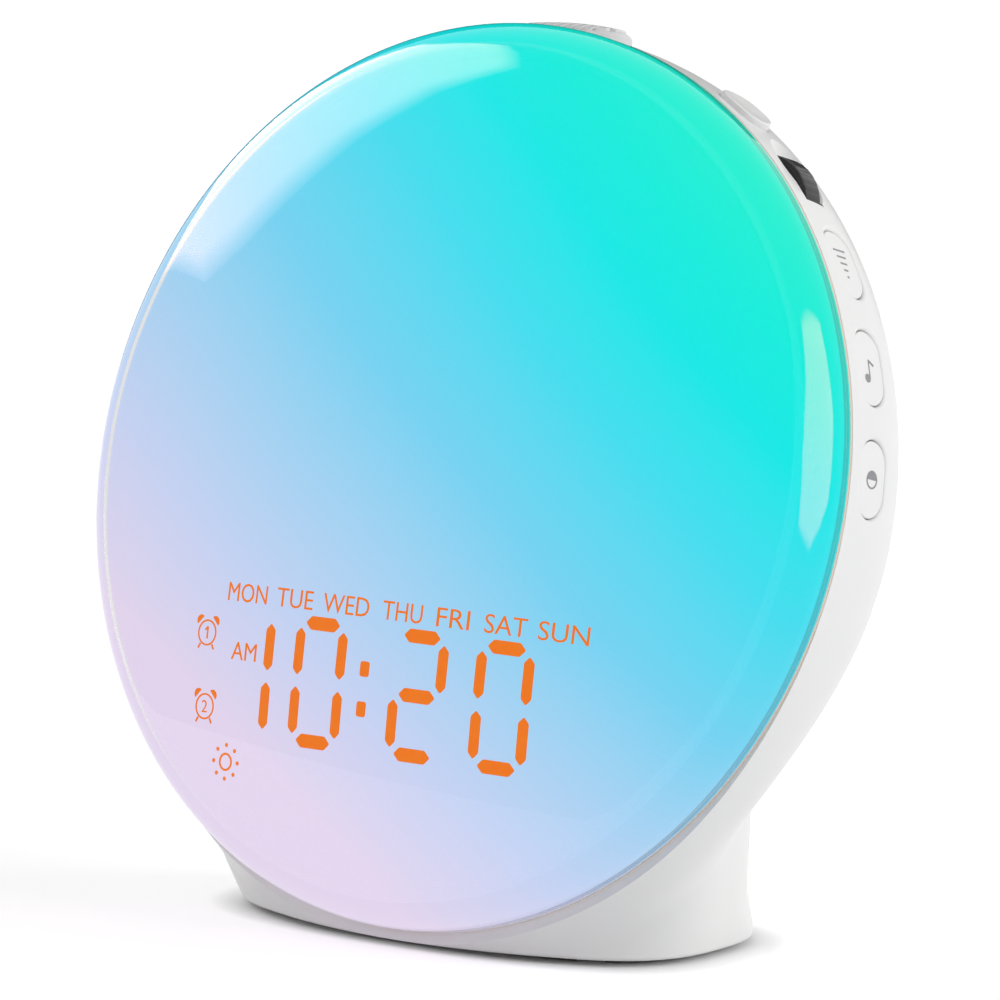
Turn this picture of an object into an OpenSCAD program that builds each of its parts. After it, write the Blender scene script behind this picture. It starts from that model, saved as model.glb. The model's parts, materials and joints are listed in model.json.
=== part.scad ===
// Sunrise alarm clock: a domed light face that leans back on a bowl-shaped housing with a flared foot.
// The origin is the middle of the rubber pad's underside, on the table. The face looks to -Y, +Z is up.

/* [Face] */
// Diameter of the clear face cover
face_d = 180; // [176:1:186]
// Angle that the face leans back from the vertical
face_tilt = 15.4; // [13:0.1:17]
// Gap between the lowest point of the face rim and the table
rim_clearance = 3.4; // [3:0.1:8]
// Distance of the face centre in front of the foot's middle
face_forward = 8.6; // [7:0.1:11]
// Wall of the clear cover
cover_wall = 2.2; // [1.6:0.1:2.4]
// Straight part of the cover's side, in front of the housing
cover_side = 2; // [1.5:0.1:4]
// Radius of the cover's rounded shoulder
shoulder_r = 9; // [7:0.5:11]
// Radius of the cover's dome
dome_r = 400; // [300:5:600]
// Inset of the milky diffuser from the cover's outer surface
diffuser_inset = 4.6; // [4.2:0.1:5]
// Wall of the milky diffuser
diffuser_wall = 1.6; // [1:0.1:2]
// Thickness of the sealing ring between cover and housing
seal_t = 0.6; // [0.3:0.1:0.8]

/* [Housing] */
// Depth of the bowl behind the face
bowl_depth = 46.2; // [44:0.2:50]
// Roundness of the bowl's side: more is squarer
bowl_power = 3.4; // [3:0.1:4]
// How much shallower the bowl gets towards the foot
lower_taper = 0.67; // [0.5:0.01:0.75]
// Wall of the housing
housing_wall = 3.6; // [3.2:0.1:4]

/* [Foot] */
// Width of the foot on the table
foot_w = 110; // [104:1:120]
// Depth of the foot on the table
foot_d = 58; // [56:1:64]
// How far each side of the foot widens upwards
foot_splay = 8.2; // [6:0.1:10]
// How far the foot's back edge flares out from its neck
foot_flare = 19; // [16:0.5:20]
// Height over which the back flare dies away
flare_h = 12.5; // [10:0.5:14]
// Thickness of the rubber pad under the foot
pad_t = 1; // [0.8:0.1:1.6]
// Inset of the rubber pad from the foot's edge
pad_inset = 4; // [3:0.1:6]
// Thickness of the base plate
base_t = 2.2; // [1.8:0.1:3]

/* [Keys] */
// Length of a side key along the rim
key_l = 15; // [12:0.5:16]
// Width of a side key
key_w = 8.6; // [7:0.1:9]
// Depth of the keys' centre line behind the face plane
key_depth = 8.7; // [8.5:0.1:9.2]
// How far a side key lies under the rim's radius
key_sunk = 0.7; // [0.4:0.1:1]
// Travel of a side key
key_travel = 0.8; // [0.4:0.1:1]
// Length of the raised lamp key along the rim
lamp_key_l = 12; // [10:0.5:13]
// Height of the raised lamp key over the rim
lamp_key_rise = 1.1; // [0.8:0.1:2]
// Length of the snooze pad along the rim
snooze_l = 24; // [20:1:28]
// Width of the snooze pad from front to back
snooze_w = 15; // [12:0.5:16]
// Height of the snooze pad over the rim
snooze_rise = 2.8; // [2:0.1:4]
// Gap round each key
key_gap = 0.25; // [0.15:0.05:0.4]

/* [Volume wheel] */
// Diameter of the volume wheel
wheel_d = 19.6; // [18:0.2:20]
// Width of the volume wheel
wheel_w = 5.4; // [4.4:0.2:5.6]
// Place of the wheel round the rim, from the right-hand side upwards
wheel_angle = 46.3; // [46:0.1:47]
// How far the wheel stands out over the rim's radius
wheel_proud = 1.4; // [1:0.1:2]
// Number of grip grooves round the wheel
wheel_grooves = 36; // [24:1:48]

/* [Display] */
// Height of a digit between its outer bars
digit_h = 23; // [20:0.5:24]
// Width of a digit between its outer bars
digit_w = 11; // [9:0.5:11.5]
// Width of a bar
bar_t = 2.3; // [1.6:0.1:2.6]
// Depth of the digits' middle below the face centre, as a share of the face's radius
digit_low = 0.498; // [0.48:0.002:0.51]

/* [Power and sound] */
// Outer diameter of the speaker
speaker_d = 48; // [40:1:50]
// Diameter of the speaker grille
grille_d = 38; // [32:1:39]
// Diameter of a grille hole
grille_hole_d = 2.2; // [1.6:0.1:2.4]
// Bore of the power socket
socket_bore = 6.4; // [5.8:0.1:7]
// Diameter of the coin cell
cell_d = 20; // [16:1:20]
// Thickness of the coin cell
cell_t = 3.2; // [2:0.1:3.2]

/* [Hidden] */

$fn = 96;
eps = 0.01;
far = 400;
// How far a cut runs out past the surface that it opens.
over = 1;

// Colours of the mouldings and the electronics.
shell_white = "#f2f0ef";
board_green = "#2f6b4a";
steel = "#b9bcc0";
black = "#1d1d1f";

// The face plane: place of its centre, and the depth behind it of what stacks on it.
face_r = face_d / 2;
face_z = rim_clearance + face_r * cos(face_tilt);
lip_depth = seal_t;
lip_r = face_r - 0.1;
seal_w = 3;
frame_t = 1.4;
frame_front = lip_depth + 0.2;
frame_back = frame_front + frame_t;
frame_r = face_r - 4.3;
frame_gap = 0.3;
rim_gap = 0.3;
rim_low = 0.1;
rim_top = 4;
ledge_t = 1.2;
ledge_r = face_r - 7;
board_t = 1.6;
light_board_front = frame_front - board_t;
main_board_front = key_depth + 3.9;
main_board_back = main_board_front + board_t;

// A point's height along the face from its centre, and its depth behind the face plane.
function up_face(p) = (p.y + face_forward) * sin(face_tilt) + (p.z - face_z) * cos(face_tilt);
function behind_face(p) = (p.y + face_forward) * cos(face_tilt) - (p.z - face_z) * sin(face_tilt);

module in_face() {
    translate([0, -face_forward, face_z])
        rotate([90 - face_tilt, 0, 0])
            children();
}

// From the face centre out along the radius at an angle: X is outwards, Y along the rim, Z to the front.
module on_rim(angle) {
    in_face()
        rotate([0, 0, angle])
            children();
}

// ---- The form of the housing: a bowl and a foot, joined by a smooth blend ----

taper_start = 2.6;
taper_span = 60;
blend_r = 11.3;
foot_power = 2.84;
splay_h = 27.4;
neck_h = 12;
neck_lean = 0.19;
foot_front_lean = 0.05;
foot_top = 60;
front_run = 3;
form_slices = 28;
form_rays = 64;
hollow_slices = 14;
hollow_rays = 32;

// Each form can be drawn smaller by an inset, which gives the hollow that leaves an even wall.
function bowl_r(depth, inset = 0) =
    let (part = max(depth, 0) / (bowl_depth - inset))
    part >= 1 ? 0 : (face_r - inset) * sqrt(1 - pow(part, bowl_power));

function bowl_gap(p, inset) =
    let (s = up_face(p),
         w = behind_face(p),
         low = max(0, -s - taper_start) / taper_span,
         depth = w * (1 + lower_taper * low * low),
         past = max(0, depth - bowl_depth + inset))
    max(norm([p.x, s]) - bowl_r(depth, inset) + past, -front_run - w);

function foot_half_w(h) = foot_w / 2 + foot_splay * (1 - pow(1 - min(h / splay_h, 1), 2));
function foot_back(h) =
    foot_d / 2 - foot_flare * (1 - exp(-pow(h / flare_h, 1.5))) + neck_lean * max(h - neck_h, 0);
function foot_front(h) = -foot_d / 2 + foot_front_lean * h;

// How far a point lies outside a superellipse with these half sizes.
function oval_gap(x, y, a, b) =
    (pow(pow(abs(x / a), foot_power) + pow(abs(y / b), foot_power), 1 / foot_power) - 1) * min(a, b);

function foot_gap(p, inset) =
    let (front = foot_front(p.z) + inset,
         back = foot_back(p.z) - inset,
         y_mid = (front + back) / 2)
    max(oval_gap(p.x, p.y - y_mid, foot_half_w(p.z) - inset, (back - front) / 2), p.z - foot_top);

function smooth_least(a, b) =
    let (h = min(max(0.5 + 0.5 * (b - a) / blend_r, 0), 1))
    b * (1 - h) + a * h - blend_r * h * (1 - h);

function is_inside(p, inset) = smooth_least(bowl_gap(p, inset), foot_gap(p, inset)) < 0;

// The last inside point from p along a direction, found by halving.
search_steps = 15;
search_reach = 110;
function reach(p, dir, inset, lo = 0, hi = search_reach, steps = search_steps) =
    steps == 0 ? p + lo * dir :
    is_inside(p + (lo + hi) / 2 * dir, inset)
        ? reach(p, dir, inset, (lo + hi) / 2, hi, steps - 1)
        : reach(p, dir, inset, lo, (lo + hi) / 2, steps - 1);

// Level slices, closer together at the top and the bottom, each with rays from a point inside.
// The rays crowd towards the sides, where the form turns most.
ray_back = 27;
ray_spread = 2;

function form_top(inset) = face_z + (face_r - inset) * cos(face_tilt) + 0.2;
function slice_z(part, bottom, inset) =
    bottom + (form_top(inset) - bottom) * (1 - cos(180 * part)) / 2;
function slice_middle(z, inset) =
    let (face_y = (z - face_z) * tan(face_tilt) - face_forward)
    [0, face_y + ray_back * pow(1 - z / form_top(inset), 2) - 1, z];
function ray_way(part) =
    let (way = [ray_spread * cos(360 * part), sin(360 * part), 0])
    way / norm(way);

module form(bottom, inset, slices, rays) {
    points = [
        for (i = [0:slices], j = [0:rays - 1])
            reach(slice_middle(slice_z(i / slices, bottom, inset), inset), ray_way(j / rays), inset)
    ];
    sides = [
        for (i = [0:slices - 1], j = [0:rays - 1], half = [0, 1])
            let (a = i * rays + j,
                 b = i * rays + (j + 1) % rays)
            half == 0 ? [a, a + rays, b] : [b, a + rays, b + rays]
    ];
    bottom = [for (j = [0:rays - 1]) j];
    top = [for (j = [rays - 1:-1:0]) slices * rays + j];
    polyhedron(points, concat([bottom], sides, [top]));
}

// ---- Outlines shared by several pieces ----

module slot_outline(length, width) {
    square([width, length - width], center = true);
    for (side = [-1, 1])
        translate([0, side * (length - width) / 2])
            circle(d = width);
}

// A rounded prism that points out along the radius, from one radius to another.
module rim_slot(from_r, to_r, length, width, depth = key_depth) {
    translate([from_r, 0, -depth])
        rotate([0, 90, 0])
            linear_extrude(to_r - from_r)
                slot_outline(length, width);
}

module rim_pin(from_r, to_r, r, depth = key_depth) {
    translate([from_r, 0, -depth])
        rotate([0, 90, 0])
            cylinder(h = to_r - from_r, r = r, $fn = 48);
}

// A disc parallel to the face, between two depths behind it.
module face_disc(from_depth, to_depth, r) {
    translate([0, 0, -to_depth])
        cylinder(h = to_depth - from_depth, r = r, $fn = 180);
}

// The foot's outline on the table, drawn smaller by an inset.
oval_points = 64;
module foot_outline(inset) {
    polygon([
        for (i = [0:oval_points - 1])
            let (t = 360 * i / oval_points,
                 x = sign(cos(t)) * pow(abs(cos(t)), 2 / foot_power),
                 y = sign(sin(t)) * pow(abs(sin(t)), 2 / foot_power))
            [(foot_w / 2 - inset) * x, (foot_d / 2 - inset) * y]
    ]);
}

// Half section of the domed cover, drawn smaller by an inset: side, shoulder arc and dome arc.
module cover_section(inset) {
    centre_x = face_r - shoulder_r;
    lean = asin(centre_x / (dome_r - shoulder_r));
    dome_z = cover_side - (dome_r - shoulder_r) * cos(lean);
    intersection() {
        square([face_r - inset, far]);
        union() {
            square([face_r - inset, cover_side]);
            translate([centre_x, cover_side])
                circle(r = shoulder_r - inset, $fn = 128);
            intersection() {
                translate([0, dome_z])
                    circle(r = dome_r - inset, $fn = 256);
                square([(dome_r - inset) * sin(lean), far]);
            }
        }
    }
}

// ---- The row of keys and their switches ----

cap_under = face_r - 4.7;
flange_t = 1.2;
flange_gap = 0.3;
flange_wide = 0.7;
flange_room = 0.4;
key_reach = 6;
pad_wall = 2;
flange_seat = cap_under + flange_gap;
switch_in = face_r - 15.5;
switch_out = face_r - 9.5;
stem_r = 1.6;
stem_gap = 0.15;
stem_end = switch_out - 1.3;
stem_room = 2 * key_travel;

side_keys = [5.5, 19.5, 33.5];
left_keys = [146.5, 160.5, 174.5];
lamp_key_angle = 59.5;
snooze_angle = 90;
snooze_depth = 11.4;
all_keys = concat(side_keys, left_keys, [lamp_key_angle, snooze_angle]);

// A key's retaining flange, with its stem that reaches into the switch.
module key_foot(length, width, depth = key_depth) {
    rim_slot(cap_under - flange_t, cap_under, length + 2 * flange_wide, width + 2 * flange_wide, depth);
    rim_pin(stem_end, cap_under - flange_t + eps, stem_r);
}

module key_cut(length, width, depth = key_depth) {
    room = 2 * (flange_wide + flange_room);
    rim_slot(cap_under - flange_t, face_r + key_reach, length + 2 * key_gap, width + 2 * key_gap, depth);
    rim_slot(cap_under - flange_t - key_reach, flange_seat, length + room, width + room, depth);
}

module side_key(angle) {
    color(shell_white)
        on_rim(angle)
            union() {
                intersection() {
                    rim_slot(cap_under - eps, face_r + key_reach, key_l, key_w);
                    face_disc(0, 2 * key_depth, face_r - key_sunk);
                }
                key_foot(key_l, key_w);
            }
}

// Thicker wall inside the housing round a key, flat where the key's flange stops.
module key_pad(length, width, depth = key_depth) {
    translate([flange_seat, -length / 2 - pad_wall, -depth - width / 2 - pad_wall])
        cube([key_reach, length + 2 * pad_wall, width + 2 * pad_wall]);
}

// ---- The wheel's place ----

wheel_r = wheel_d / 2;
wheel_front = 4.6;
wheel_back = wheel_front + wheel_w;
wheel_radius = face_r + wheel_proud - wheel_r;
wheel_side_gap = 0.3;
wheel_round_gap = 0.5;
axle_r = 1.5;
axle_gap = 0.05;
axle_end = 0.3;
pot_gap = 0.4;
pot_front = wheel_back + pot_gap;
pot_w = 8;
pot_room = pot_w + 1;
scoop_angle = 47.9;
scoop_l = 24;
scoop_r = 6;
scoop_raise = 2.5;
scoop_depth = 9;
scoop_back = 7.5;

module at_wheel() {
    on_rim(wheel_angle)
        translate([wheel_radius, 0, 0])
            children();
}

// The finger scoop: a spindle lying along the rim, part sunk into the wall.
module finger_scoop() {
    arc_r = (pow(scoop_l / 2, 2) + pow(scoop_r, 2)) / (2 * scoop_r);
    on_rim(scoop_angle)
        translate([face_r + scoop_raise, 0, -scoop_depth])
            rotate([90, 0, 0])
                rotate_extrude($fn = 72)
                    intersection() {
                        translate([scoop_r - arc_r, 0])
                            circle(r = arc_r, $fn = 128);
                        translate([0, -scoop_l])
                            square([scoop_l, 2 * scoop_l]);
                    }
}

// ---- Screws and posts ----

frame_screw_r = 1.5;
frame_screw_tip = 12;
frame_screw_ring = face_r - 10;
frame_screw_angles = [75, 120, 195, 250, 290, 345];
frame_boss_r = 3.5;
low_screws = -0.5;
short_boss = 3;
post_ring = 55;
post_angles = [35, 145, 215, 325];
post_r = 3.5;
board_screw_r = 1.25;
screw_gap = 0.2;
head_r = 2.6;
head_t = 1.5;
head_gap = 0.3;
base_screw_places = [[-38, -18], [38, -18], [-40, 12], [40, 12]];
base_screw_r = 1.4;
base_screw_l = 7;
base_boss_r = 3.2;
base_ledge = 5.4;
base_ledge_h = 4;

module face_pin(x, y, from_depth, to_depth, r) {
    translate([x, y, -to_depth])
        cylinder(h = to_depth - from_depth, r = r, $fn = 48);
}

// A pan-head screw parallel to the face's axis, its head on the side that "head_from" gives.
module face_screw(x, y, seat, tip, r, forward) {
    head_end = forward ? seat - head_t : seat + head_t;
    face_pin(x, y, min(head_end, tip), max(head_end, tip), r);
    face_pin(x, y, min(head_end, seat), max(head_end, seat), head_r);
}

// ---- Speaker, grille, power socket and battery ----

speaker_up = 10;
grille_floor = bowl_depth - 3;
grille_t = 1.8;
grille_gap = 0.2;
grille_ring = grille_d / 2 - 2.5;
wall_inside = grille_floor - grille_t - 1.2;
speaker_r = speaker_d / 2;
speaker_flange_t = 2;
speaker_hole_l = 2.2;
hole_end = 0.6;
speaker_back = wall_inside;
cone_top_r = speaker_r - 5;
cone_end_r = 9;
cone_l = 9;
cone_start = 0.5;
cone_t = 0.7;
cone_gap = 0.3;
basket_t = 1.4;
basket_l = cone_l + speaker_flange_t;
function basket_r(h) = cone_top_r + (cone_end_r - cone_top_r) * h / basket_l;
magnet_r = 13;
magnet_l = 6;
speaker_screw_ring = speaker_r - 1.8;
speaker_screw_angles = [45, 135, 225, 315];

socket_z = 30;
socket_face_y = foot_back(socket_z) - 3;
socket_nose_d = 9;
socket_body = [10, 12, 12];
socket_wall = 3;
socket_room = 4;
socket_reach = 20;
socket_bore_l = socket_wall + 9;
socket_nose_l = socket_wall;
socket_pin_r = 1;

door_x = -20;
door_r = cell_d / 2 + 3;
door_gap = 0.08;
door_t = base_t;
door_bottom = pad_t;
lug_r = door_r + 1.8;
lug_angle = 34;
lug_t = 1;
lug_play = 6;
lug_lift = 0.25;
door_turn = 45;
door_floor = 1.6;
coin_slot_w = 2;
coin_slot_depth = 0.8;
base_inset = 2.6;
screw_sink = 0.9;
base_top = pad_t + base_t;
cell_gap = 0.15;
contact_t = 0.4;
contact_w = 5;
contact_foot = 3.5;
leaf_reach = 4;
leaf_gap = 0.3;

module sector(r, angle, span) {
    polygon(concat([[0, 0]], [
        for (k = [0:4])
            let (t = angle - span / 2 + span * k / 4)
            [2 * r * cos(t), 2 * r * sin(t)]
    ]));
}

// Round columns along the face's axis that carry the frame screws. The two low ones are short, over the foot.
module frame_bosses() {
    in_face()
        for (a = frame_screw_angles)
            face_pin(frame_screw_ring * cos(a), frame_screw_ring * sin(a), 0,
                     sin(a) < low_screws ? frame_screw_tip + short_boss : bowl_depth, frame_boss_r);
}

// What stays solid inside the wall: key pads, screw columns, the scoop's back and the socket's seat.
module thickenings() {
    for (a = concat(side_keys, left_keys))
        on_rim(a)
            key_pad(key_l, key_w);
    on_rim(lamp_key_angle)
        key_pad(lamp_key_l, key_w);
    on_rim(snooze_angle)
        key_pad(snooze_l, snooze_w, snooze_depth);
    on_rim(scoop_angle)
        translate([face_r - scoop_back, -scoop_l / 2 - over, -scoop_depth - scoop_r])
            cube([scoop_back, scoop_l + 2 * over, 2 * scoop_r]);
    frame_bosses();
    for (p = base_screw_places)
        translate([p.x, p.y, 0])
            cylinder(h = base_top + base_screw_l, r = base_boss_r);
    translate([0, socket_face_y - socket_wall, socket_z])
        rotate([-90, 0, 0])
            cylinder(h = socket_reach, d = socket_nose_d + socket_room + housing_wall);
}

// The room inside the housing: the same form less its wall, between the face's ledge, the flat seat
// of the speaker and the ledge of the base plate.
module hollow() {
    difference() {
        union() {
            difference() {
                form(base_top - over, housing_wall, hollow_slices, hollow_rays);
                in_face() {
                    face_disc(-far, frame_back + ledge_t, 2 * face_r);
                    translate([0, speaker_up, 0])
                        face_disc(wall_inside, bowl_depth, speaker_r + over);
                }
                difference() {
                    translate([-face_r, -face_r, 0])
                        cube([face_d, face_d, base_top + base_ledge_h]);
                    linear_extrude(face_d)
                        foot_outline(base_ledge);
                }
            }
            in_face()
                face_disc(frame_back - eps, frame_back + 2 * ledge_t, ledge_r);
        }
        thickenings();
    }
}

// ---- Sub-parts ----

module housing() {
    color(shell_white)
        difference() {
            form(pad_t, 0, form_slices, form_rays);
            hollow();
            in_face() {
                // everything in front of the lip, and the rebate for the light frame
                translate([0, 0, far / 2 - lip_depth])
                    cube([far, far, far], center = true);
                face_disc(-over, frame_back, frame_r + frame_gap);
            }
            for (a = concat(side_keys, left_keys))
                on_rim(a)
                    key_cut(key_l, key_w);
            on_rim(lamp_key_angle)
                key_cut(lamp_key_l, key_w);
            on_rim(snooze_angle)
                key_cut(snooze_l, snooze_w, snooze_depth);
            finger_scoop();
            at_wheel() {
                face_disc(wheel_front - wheel_side_gap, wheel_back + wheel_side_gap,
                          wheel_r + wheel_round_gap);
                translate([-pot_room / 2, -pot_room / 2, -main_board_back - pot_gap])
                    cube([pot_room, pot_room, main_board_back + pot_gap - wheel_back]);
            }
            for (a = frame_screw_angles)
                in_face()
                    face_pin(frame_screw_ring * cos(a), frame_screw_ring * sin(a),
                             0, frame_screw_tip + over, frame_screw_r);
            // grille recess and the sound opening
            in_face()
                translate([0, speaker_up, 0]) {
                    face_disc(grille_floor - grille_t, far, grille_d / 2 + grille_gap);
                    face_disc(wall_inside - over, grille_floor, grille_ring);
                    for (a = speaker_screw_angles)
                        face_pin(speaker_screw_ring * cos(a), speaker_screw_ring * sin(a),
                                 wall_inside - over, wall_inside + speaker_hole_l, board_screw_r);
                }
            // power socket: a flat round recess and the hole for the socket's nose
            translate([0, socket_face_y, socket_z])
                rotate([-90, 0, 0]) {
                    cylinder(h = socket_reach, d = socket_nose_d + socket_room);
                    translate([0, 0, -socket_reach])
                        cylinder(h = socket_reach + over, d = socket_nose_d + 2 * screw_gap);
                }
            // base plate rebate and screw holes
            translate([0, 0, pad_t - over])
                linear_extrude(base_t + over)
                    foot_outline(base_inset - screw_gap);
            for (p = base_screw_places)
                translate([p.x, p.y, 0])
                    cylinder(h = pad_t + base_screw_l + over, r = base_screw_r, $fn = 32);
        }
}

module face_cover() {
    color("#7fdcee", 0.5)
        in_face()
            rotate_extrude($fn = 180)
                difference() {
                    cover_section(0);
                    translate([0, -eps])
                        cover_section(cover_wall);
                }
}

module cover_seal() {
    color("#d9b79a")
        in_face()
            difference() {
                face_disc(0, seal_t, lip_r);
                face_disc(-over, seal_t + over, face_r - seal_w);
            }
}

// A milky dome whose thick rim fills the side of the cover and glows with it.
module diffuser() {
    color("#dff1fb")
        in_face()
            translate([0, 0, -frame_front])
                rotate_extrude($fn = 180)
                    difference() {
                        union() {
                            translate([0, frame_front])
                                cover_section(diffuser_inset);
                            square([face_r - diffuser_inset, frame_front + eps]);
                            intersection() {
                                translate([0, frame_front])
                                    cover_section(cover_wall + rim_gap);
                                translate([0, frame_front + rim_low])
                                    square([face_r, rim_top - rim_low]);
                            }
                        }
                        translate([0, frame_front - eps])
                            cover_section(diffuser_inset + diffuser_wall);
                        translate([0, -over])
                            square([face_r - diffuser_inset - diffuser_wall, frame_front + over + eps]);
                    }
}

module light_frame() {
    color("#f7f7f4")
        in_face()
            difference() {
                union() {
                    face_disc(frame_front, frame_back, frame_r);
                    for (a = post_angles)
                        face_pin(post_ring * cos(a), post_ring * sin(a), frame_back - eps,
                                 main_board_front, post_r);
                }
                for (a = post_angles)
                    face_pin(post_ring * cos(a), post_ring * sin(a), frame_back + over,
                             main_board_front + over, board_screw_r);
                for (a = frame_screw_angles)
                    face_pin(frame_screw_ring * cos(a), frame_screw_ring * sin(a),
                             frame_front - over, frame_back + over, frame_screw_r + screw_gap);
            }
}

module frame_screws() {
    color(steel)
        in_face()
            for (a = frame_screw_angles)
                face_screw(frame_screw_ring * cos(a), frame_screw_ring * sin(a),
                           frame_front, frame_screw_tip, frame_screw_r, true);
}

light_board_r = face_r - 15;
led_size = 5;
led_t = 1.5;
led_rings = [[68, 14, 12], [40, 8, 22.5]];

// True where an LED stands on the board, clear of the display's window.
function clear_of_display(x, y) =
    y > display_top + led_size || x < display_left - led_size || x > display_right + led_size;

digit_drop = digit_low * face_r;
display_left = -0.611 * face_r;
display_right = 0.522 * face_r;
display_top = digit_h / 2 - digit_drop + 10.3;
display_bottom = -digit_h / 2 - digit_drop - 9.7;
display_edge_r = frame_screw_ring - head_r - 0.9;

module display_outline(inset = 0) {
    intersection() {
        translate([display_left + inset, display_bottom + inset])
            square([display_right - display_left - 2 * inset, display_top - display_bottom - 2 * inset]);
        circle(r = display_edge_r - inset, $fn = 180);
    }
}

// The light board is open from the display's top edge down.
module display_window() {
    translate([display_left - over, -far])
        square([display_right - display_left + 2 * over, far + display_top + over]);
}

module light_board() {
    color("#f4f4ee")
        in_face()
            translate([0, 0, -frame_front])
                linear_extrude(board_t)
                    difference() {
                        circle(r = light_board_r, $fn = 180);
                        display_window();
                    }
}

module light_leds() {
    color("#ffe9b0")
        in_face()
            for (ring = led_rings, k = [0:ring[1] - 1])
                let (a = ring[2] + 360 * k / ring[1],
                     x = ring[0] * cos(a),
                     y = ring[0] * sin(a))
                if (clear_of_display(x, y))
                    translate([x, y, -light_board_front])
                        linear_extrude(led_t)
                            rotate(a)
                                square(led_size, center = true);
}

module display_board() {
    color(board_green)
        in_face()
            translate([0, 0, -frame_front])
                linear_extrude(board_t)
                    display_outline();
}

// Where the four digits and the two dots stand, and what the bars of a digit are.
digit_places = [for (share = [-0.433, -0.222, 0.056, 0.278]) share * face_r];
dot_x = -0.092 * face_r;
dot_rise = 3.9;
dot_r = 1.3;
bar_gap = 1.1;

module bar(length, grow) {
    half = length / 2 - bar_gap + grow;
    side = bar_t / 2 + grow;
    polygon([
        [-half, 0],
        [-half + side, side],
        [half - side, side],
        [half, 0],
        [half - side, -side],
        [-half + side, -side]
    ]);
}

module digit(grow) {
    for (level = [-1, 0, 1])
        translate([0, level * digit_h / 2])
            bar(digit_w, grow);
    for (side = [-1, 1], level = [-1, 1])
        translate([side * digit_w / 2, level * digit_h / 4])
            rotate(90)
                bar(digit_h / 2, grow);
}

module all_digits(grow = 0) {
    translate([0, -digit_drop])
        for (x = digit_places)
            translate([x, 0])
                digit(grow);
    for (level = [-1, 1])
        translate([dot_x, level * dot_rise - digit_drop])
            circle(r = dot_r + grow, $fn = 32);
}

// The room behind the diffuser, less a small gap, in which the display block stands.
module behind_diffuser(gap) {
    rotate_extrude($fn = 180)
        cover_section(diffuser_inset + diffuser_wall + gap);
}

block_gap = 0.3;
block_inset = 1;
display_reach = 30;
bar_clearance = 0.1;

module display_block() {
    color(black)
        in_face()
            intersection() {
                translate([0, 0, -light_board_front])
                    linear_extrude(display_reach)
                        difference() {
                            display_outline(block_inset);
                            all_digits(bar_clearance);
                        }
                behind_diffuser(block_gap);
            }
}

module digit_bars() {
    color("#ff8a2a")
        in_face()
            intersection() {
                translate([0, 0, -light_board_front])
                    linear_extrude(display_reach)
                        all_digits();
                behind_diffuser(block_gap);
            }
}

main_board_r = face_r - 10;
main_board_up = 17;
main_board_h = 130;
boss_room = 0.6;

module main_board() {
    color(board_green)
        in_face()
            difference() {
                union() {
                    intersection() {
                        face_disc(main_board_front, main_board_back, main_board_r);
                        translate([0, main_board_up, 0])
                            cube([far, main_board_h, far], center = true);
                    }
                    rotate([0, 0, wheel_angle])
                        translate([wheel_radius, 0, 0])
                            translate([-pot_w / 2, -pot_w / 2, -main_board_back])
                                cube([pot_w, pot_w, board_t]);
                }
                for (a = frame_screw_angles)
                    face_pin(frame_screw_ring * cos(a), frame_screw_ring * sin(a),
                             main_board_front - over, main_board_back + over, frame_boss_r + boss_room);
                for (a = post_angles)
                    face_pin(post_ring * cos(a), post_ring * sin(a),
                             main_board_front - over, main_board_back + over, board_screw_r + screw_gap);
            }
}

module board_screws() {
    color(steel)
        in_face()
            for (a = post_angles)
                face_screw(post_ring * cos(a), post_ring * sin(a), main_board_back,
                           frame_back + over + hole_end, board_screw_r, false);
}

// Chips, capacitors and connectors on the rear of the main board: [x, y, length, width, height].
chip_places = [
    [-20, 40, 14, 14, 2], [22, 44, 9, 9, 1.6], [-44, 20, 10, 6, 6], [42, 18, 12, 7, 5],
    [-30, -18, 16, 6, 7], [6, -28, 12, 6, 6]
];
capacitor_places = [[-52, 34], [-60, 2], [52, 30], [30, -20]];
capacitor_r = 3.2;
capacitor_h = 9;

module main_chips() {
    color(black)
        in_face() {
            for (c = chip_places)
                translate([c[0] - c[2] / 2, c[1] - c[3] / 2, -main_board_back - c[4]])
                    cube([c[2], c[3], c[4]]);
            for (p = capacitor_places)
                face_pin(p.x, p.y, main_board_back, main_board_back + capacitor_h, capacitor_r);
        }
}

switch_w = 6;
module key_switches() {
    color("#3a3a3e")
        for (a = all_keys)
            on_rim(a)
                difference() {
                    translate([switch_in, -switch_w / 2, -main_board_front])
                        cube([switch_out - switch_in, switch_w, main_board_front - key_depth + switch_w / 2]);
                    rim_pin(stem_end - stem_room, switch_out + over, stem_r + stem_gap);
                }
}

module volume_pot() {
    color("#2f3f8a")
        at_wheel()
            difference() {
                translate([-pot_w / 2, -pot_w / 2, -main_board_front])
                    cube([pot_w, pot_w, main_board_front - pot_front]);
                face_disc(0, main_board_front - axle_end, axle_r + axle_gap);
            }
}

groove_r = 0.5;
groove_out = 0.15;
module volume_wheel() {
    color(black)
        at_wheel()
            union() {
                difference() {
                    face_disc(wheel_front, wheel_back, wheel_r);
                    for (k = [0:wheel_grooves - 1])
                        rotate([0, 0, 360 * k / wheel_grooves])
                            translate([wheel_r + groove_out, 0, 0])
                                face_disc(wheel_front - over, wheel_back + over, groove_r, $fn = 16);
                }
                face_pin(0, 0, wheel_back - eps, main_board_front - 2 * axle_end, axle_r);
            }
}

// The snooze pad's crown, across the rim from front to back.
crown_r = 14;
rib_pitch = 2.2;
rib_w = 1.4;
rib_depth = 0.6;
rib_margin = 1;
ribs_each_side = 5;

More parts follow.
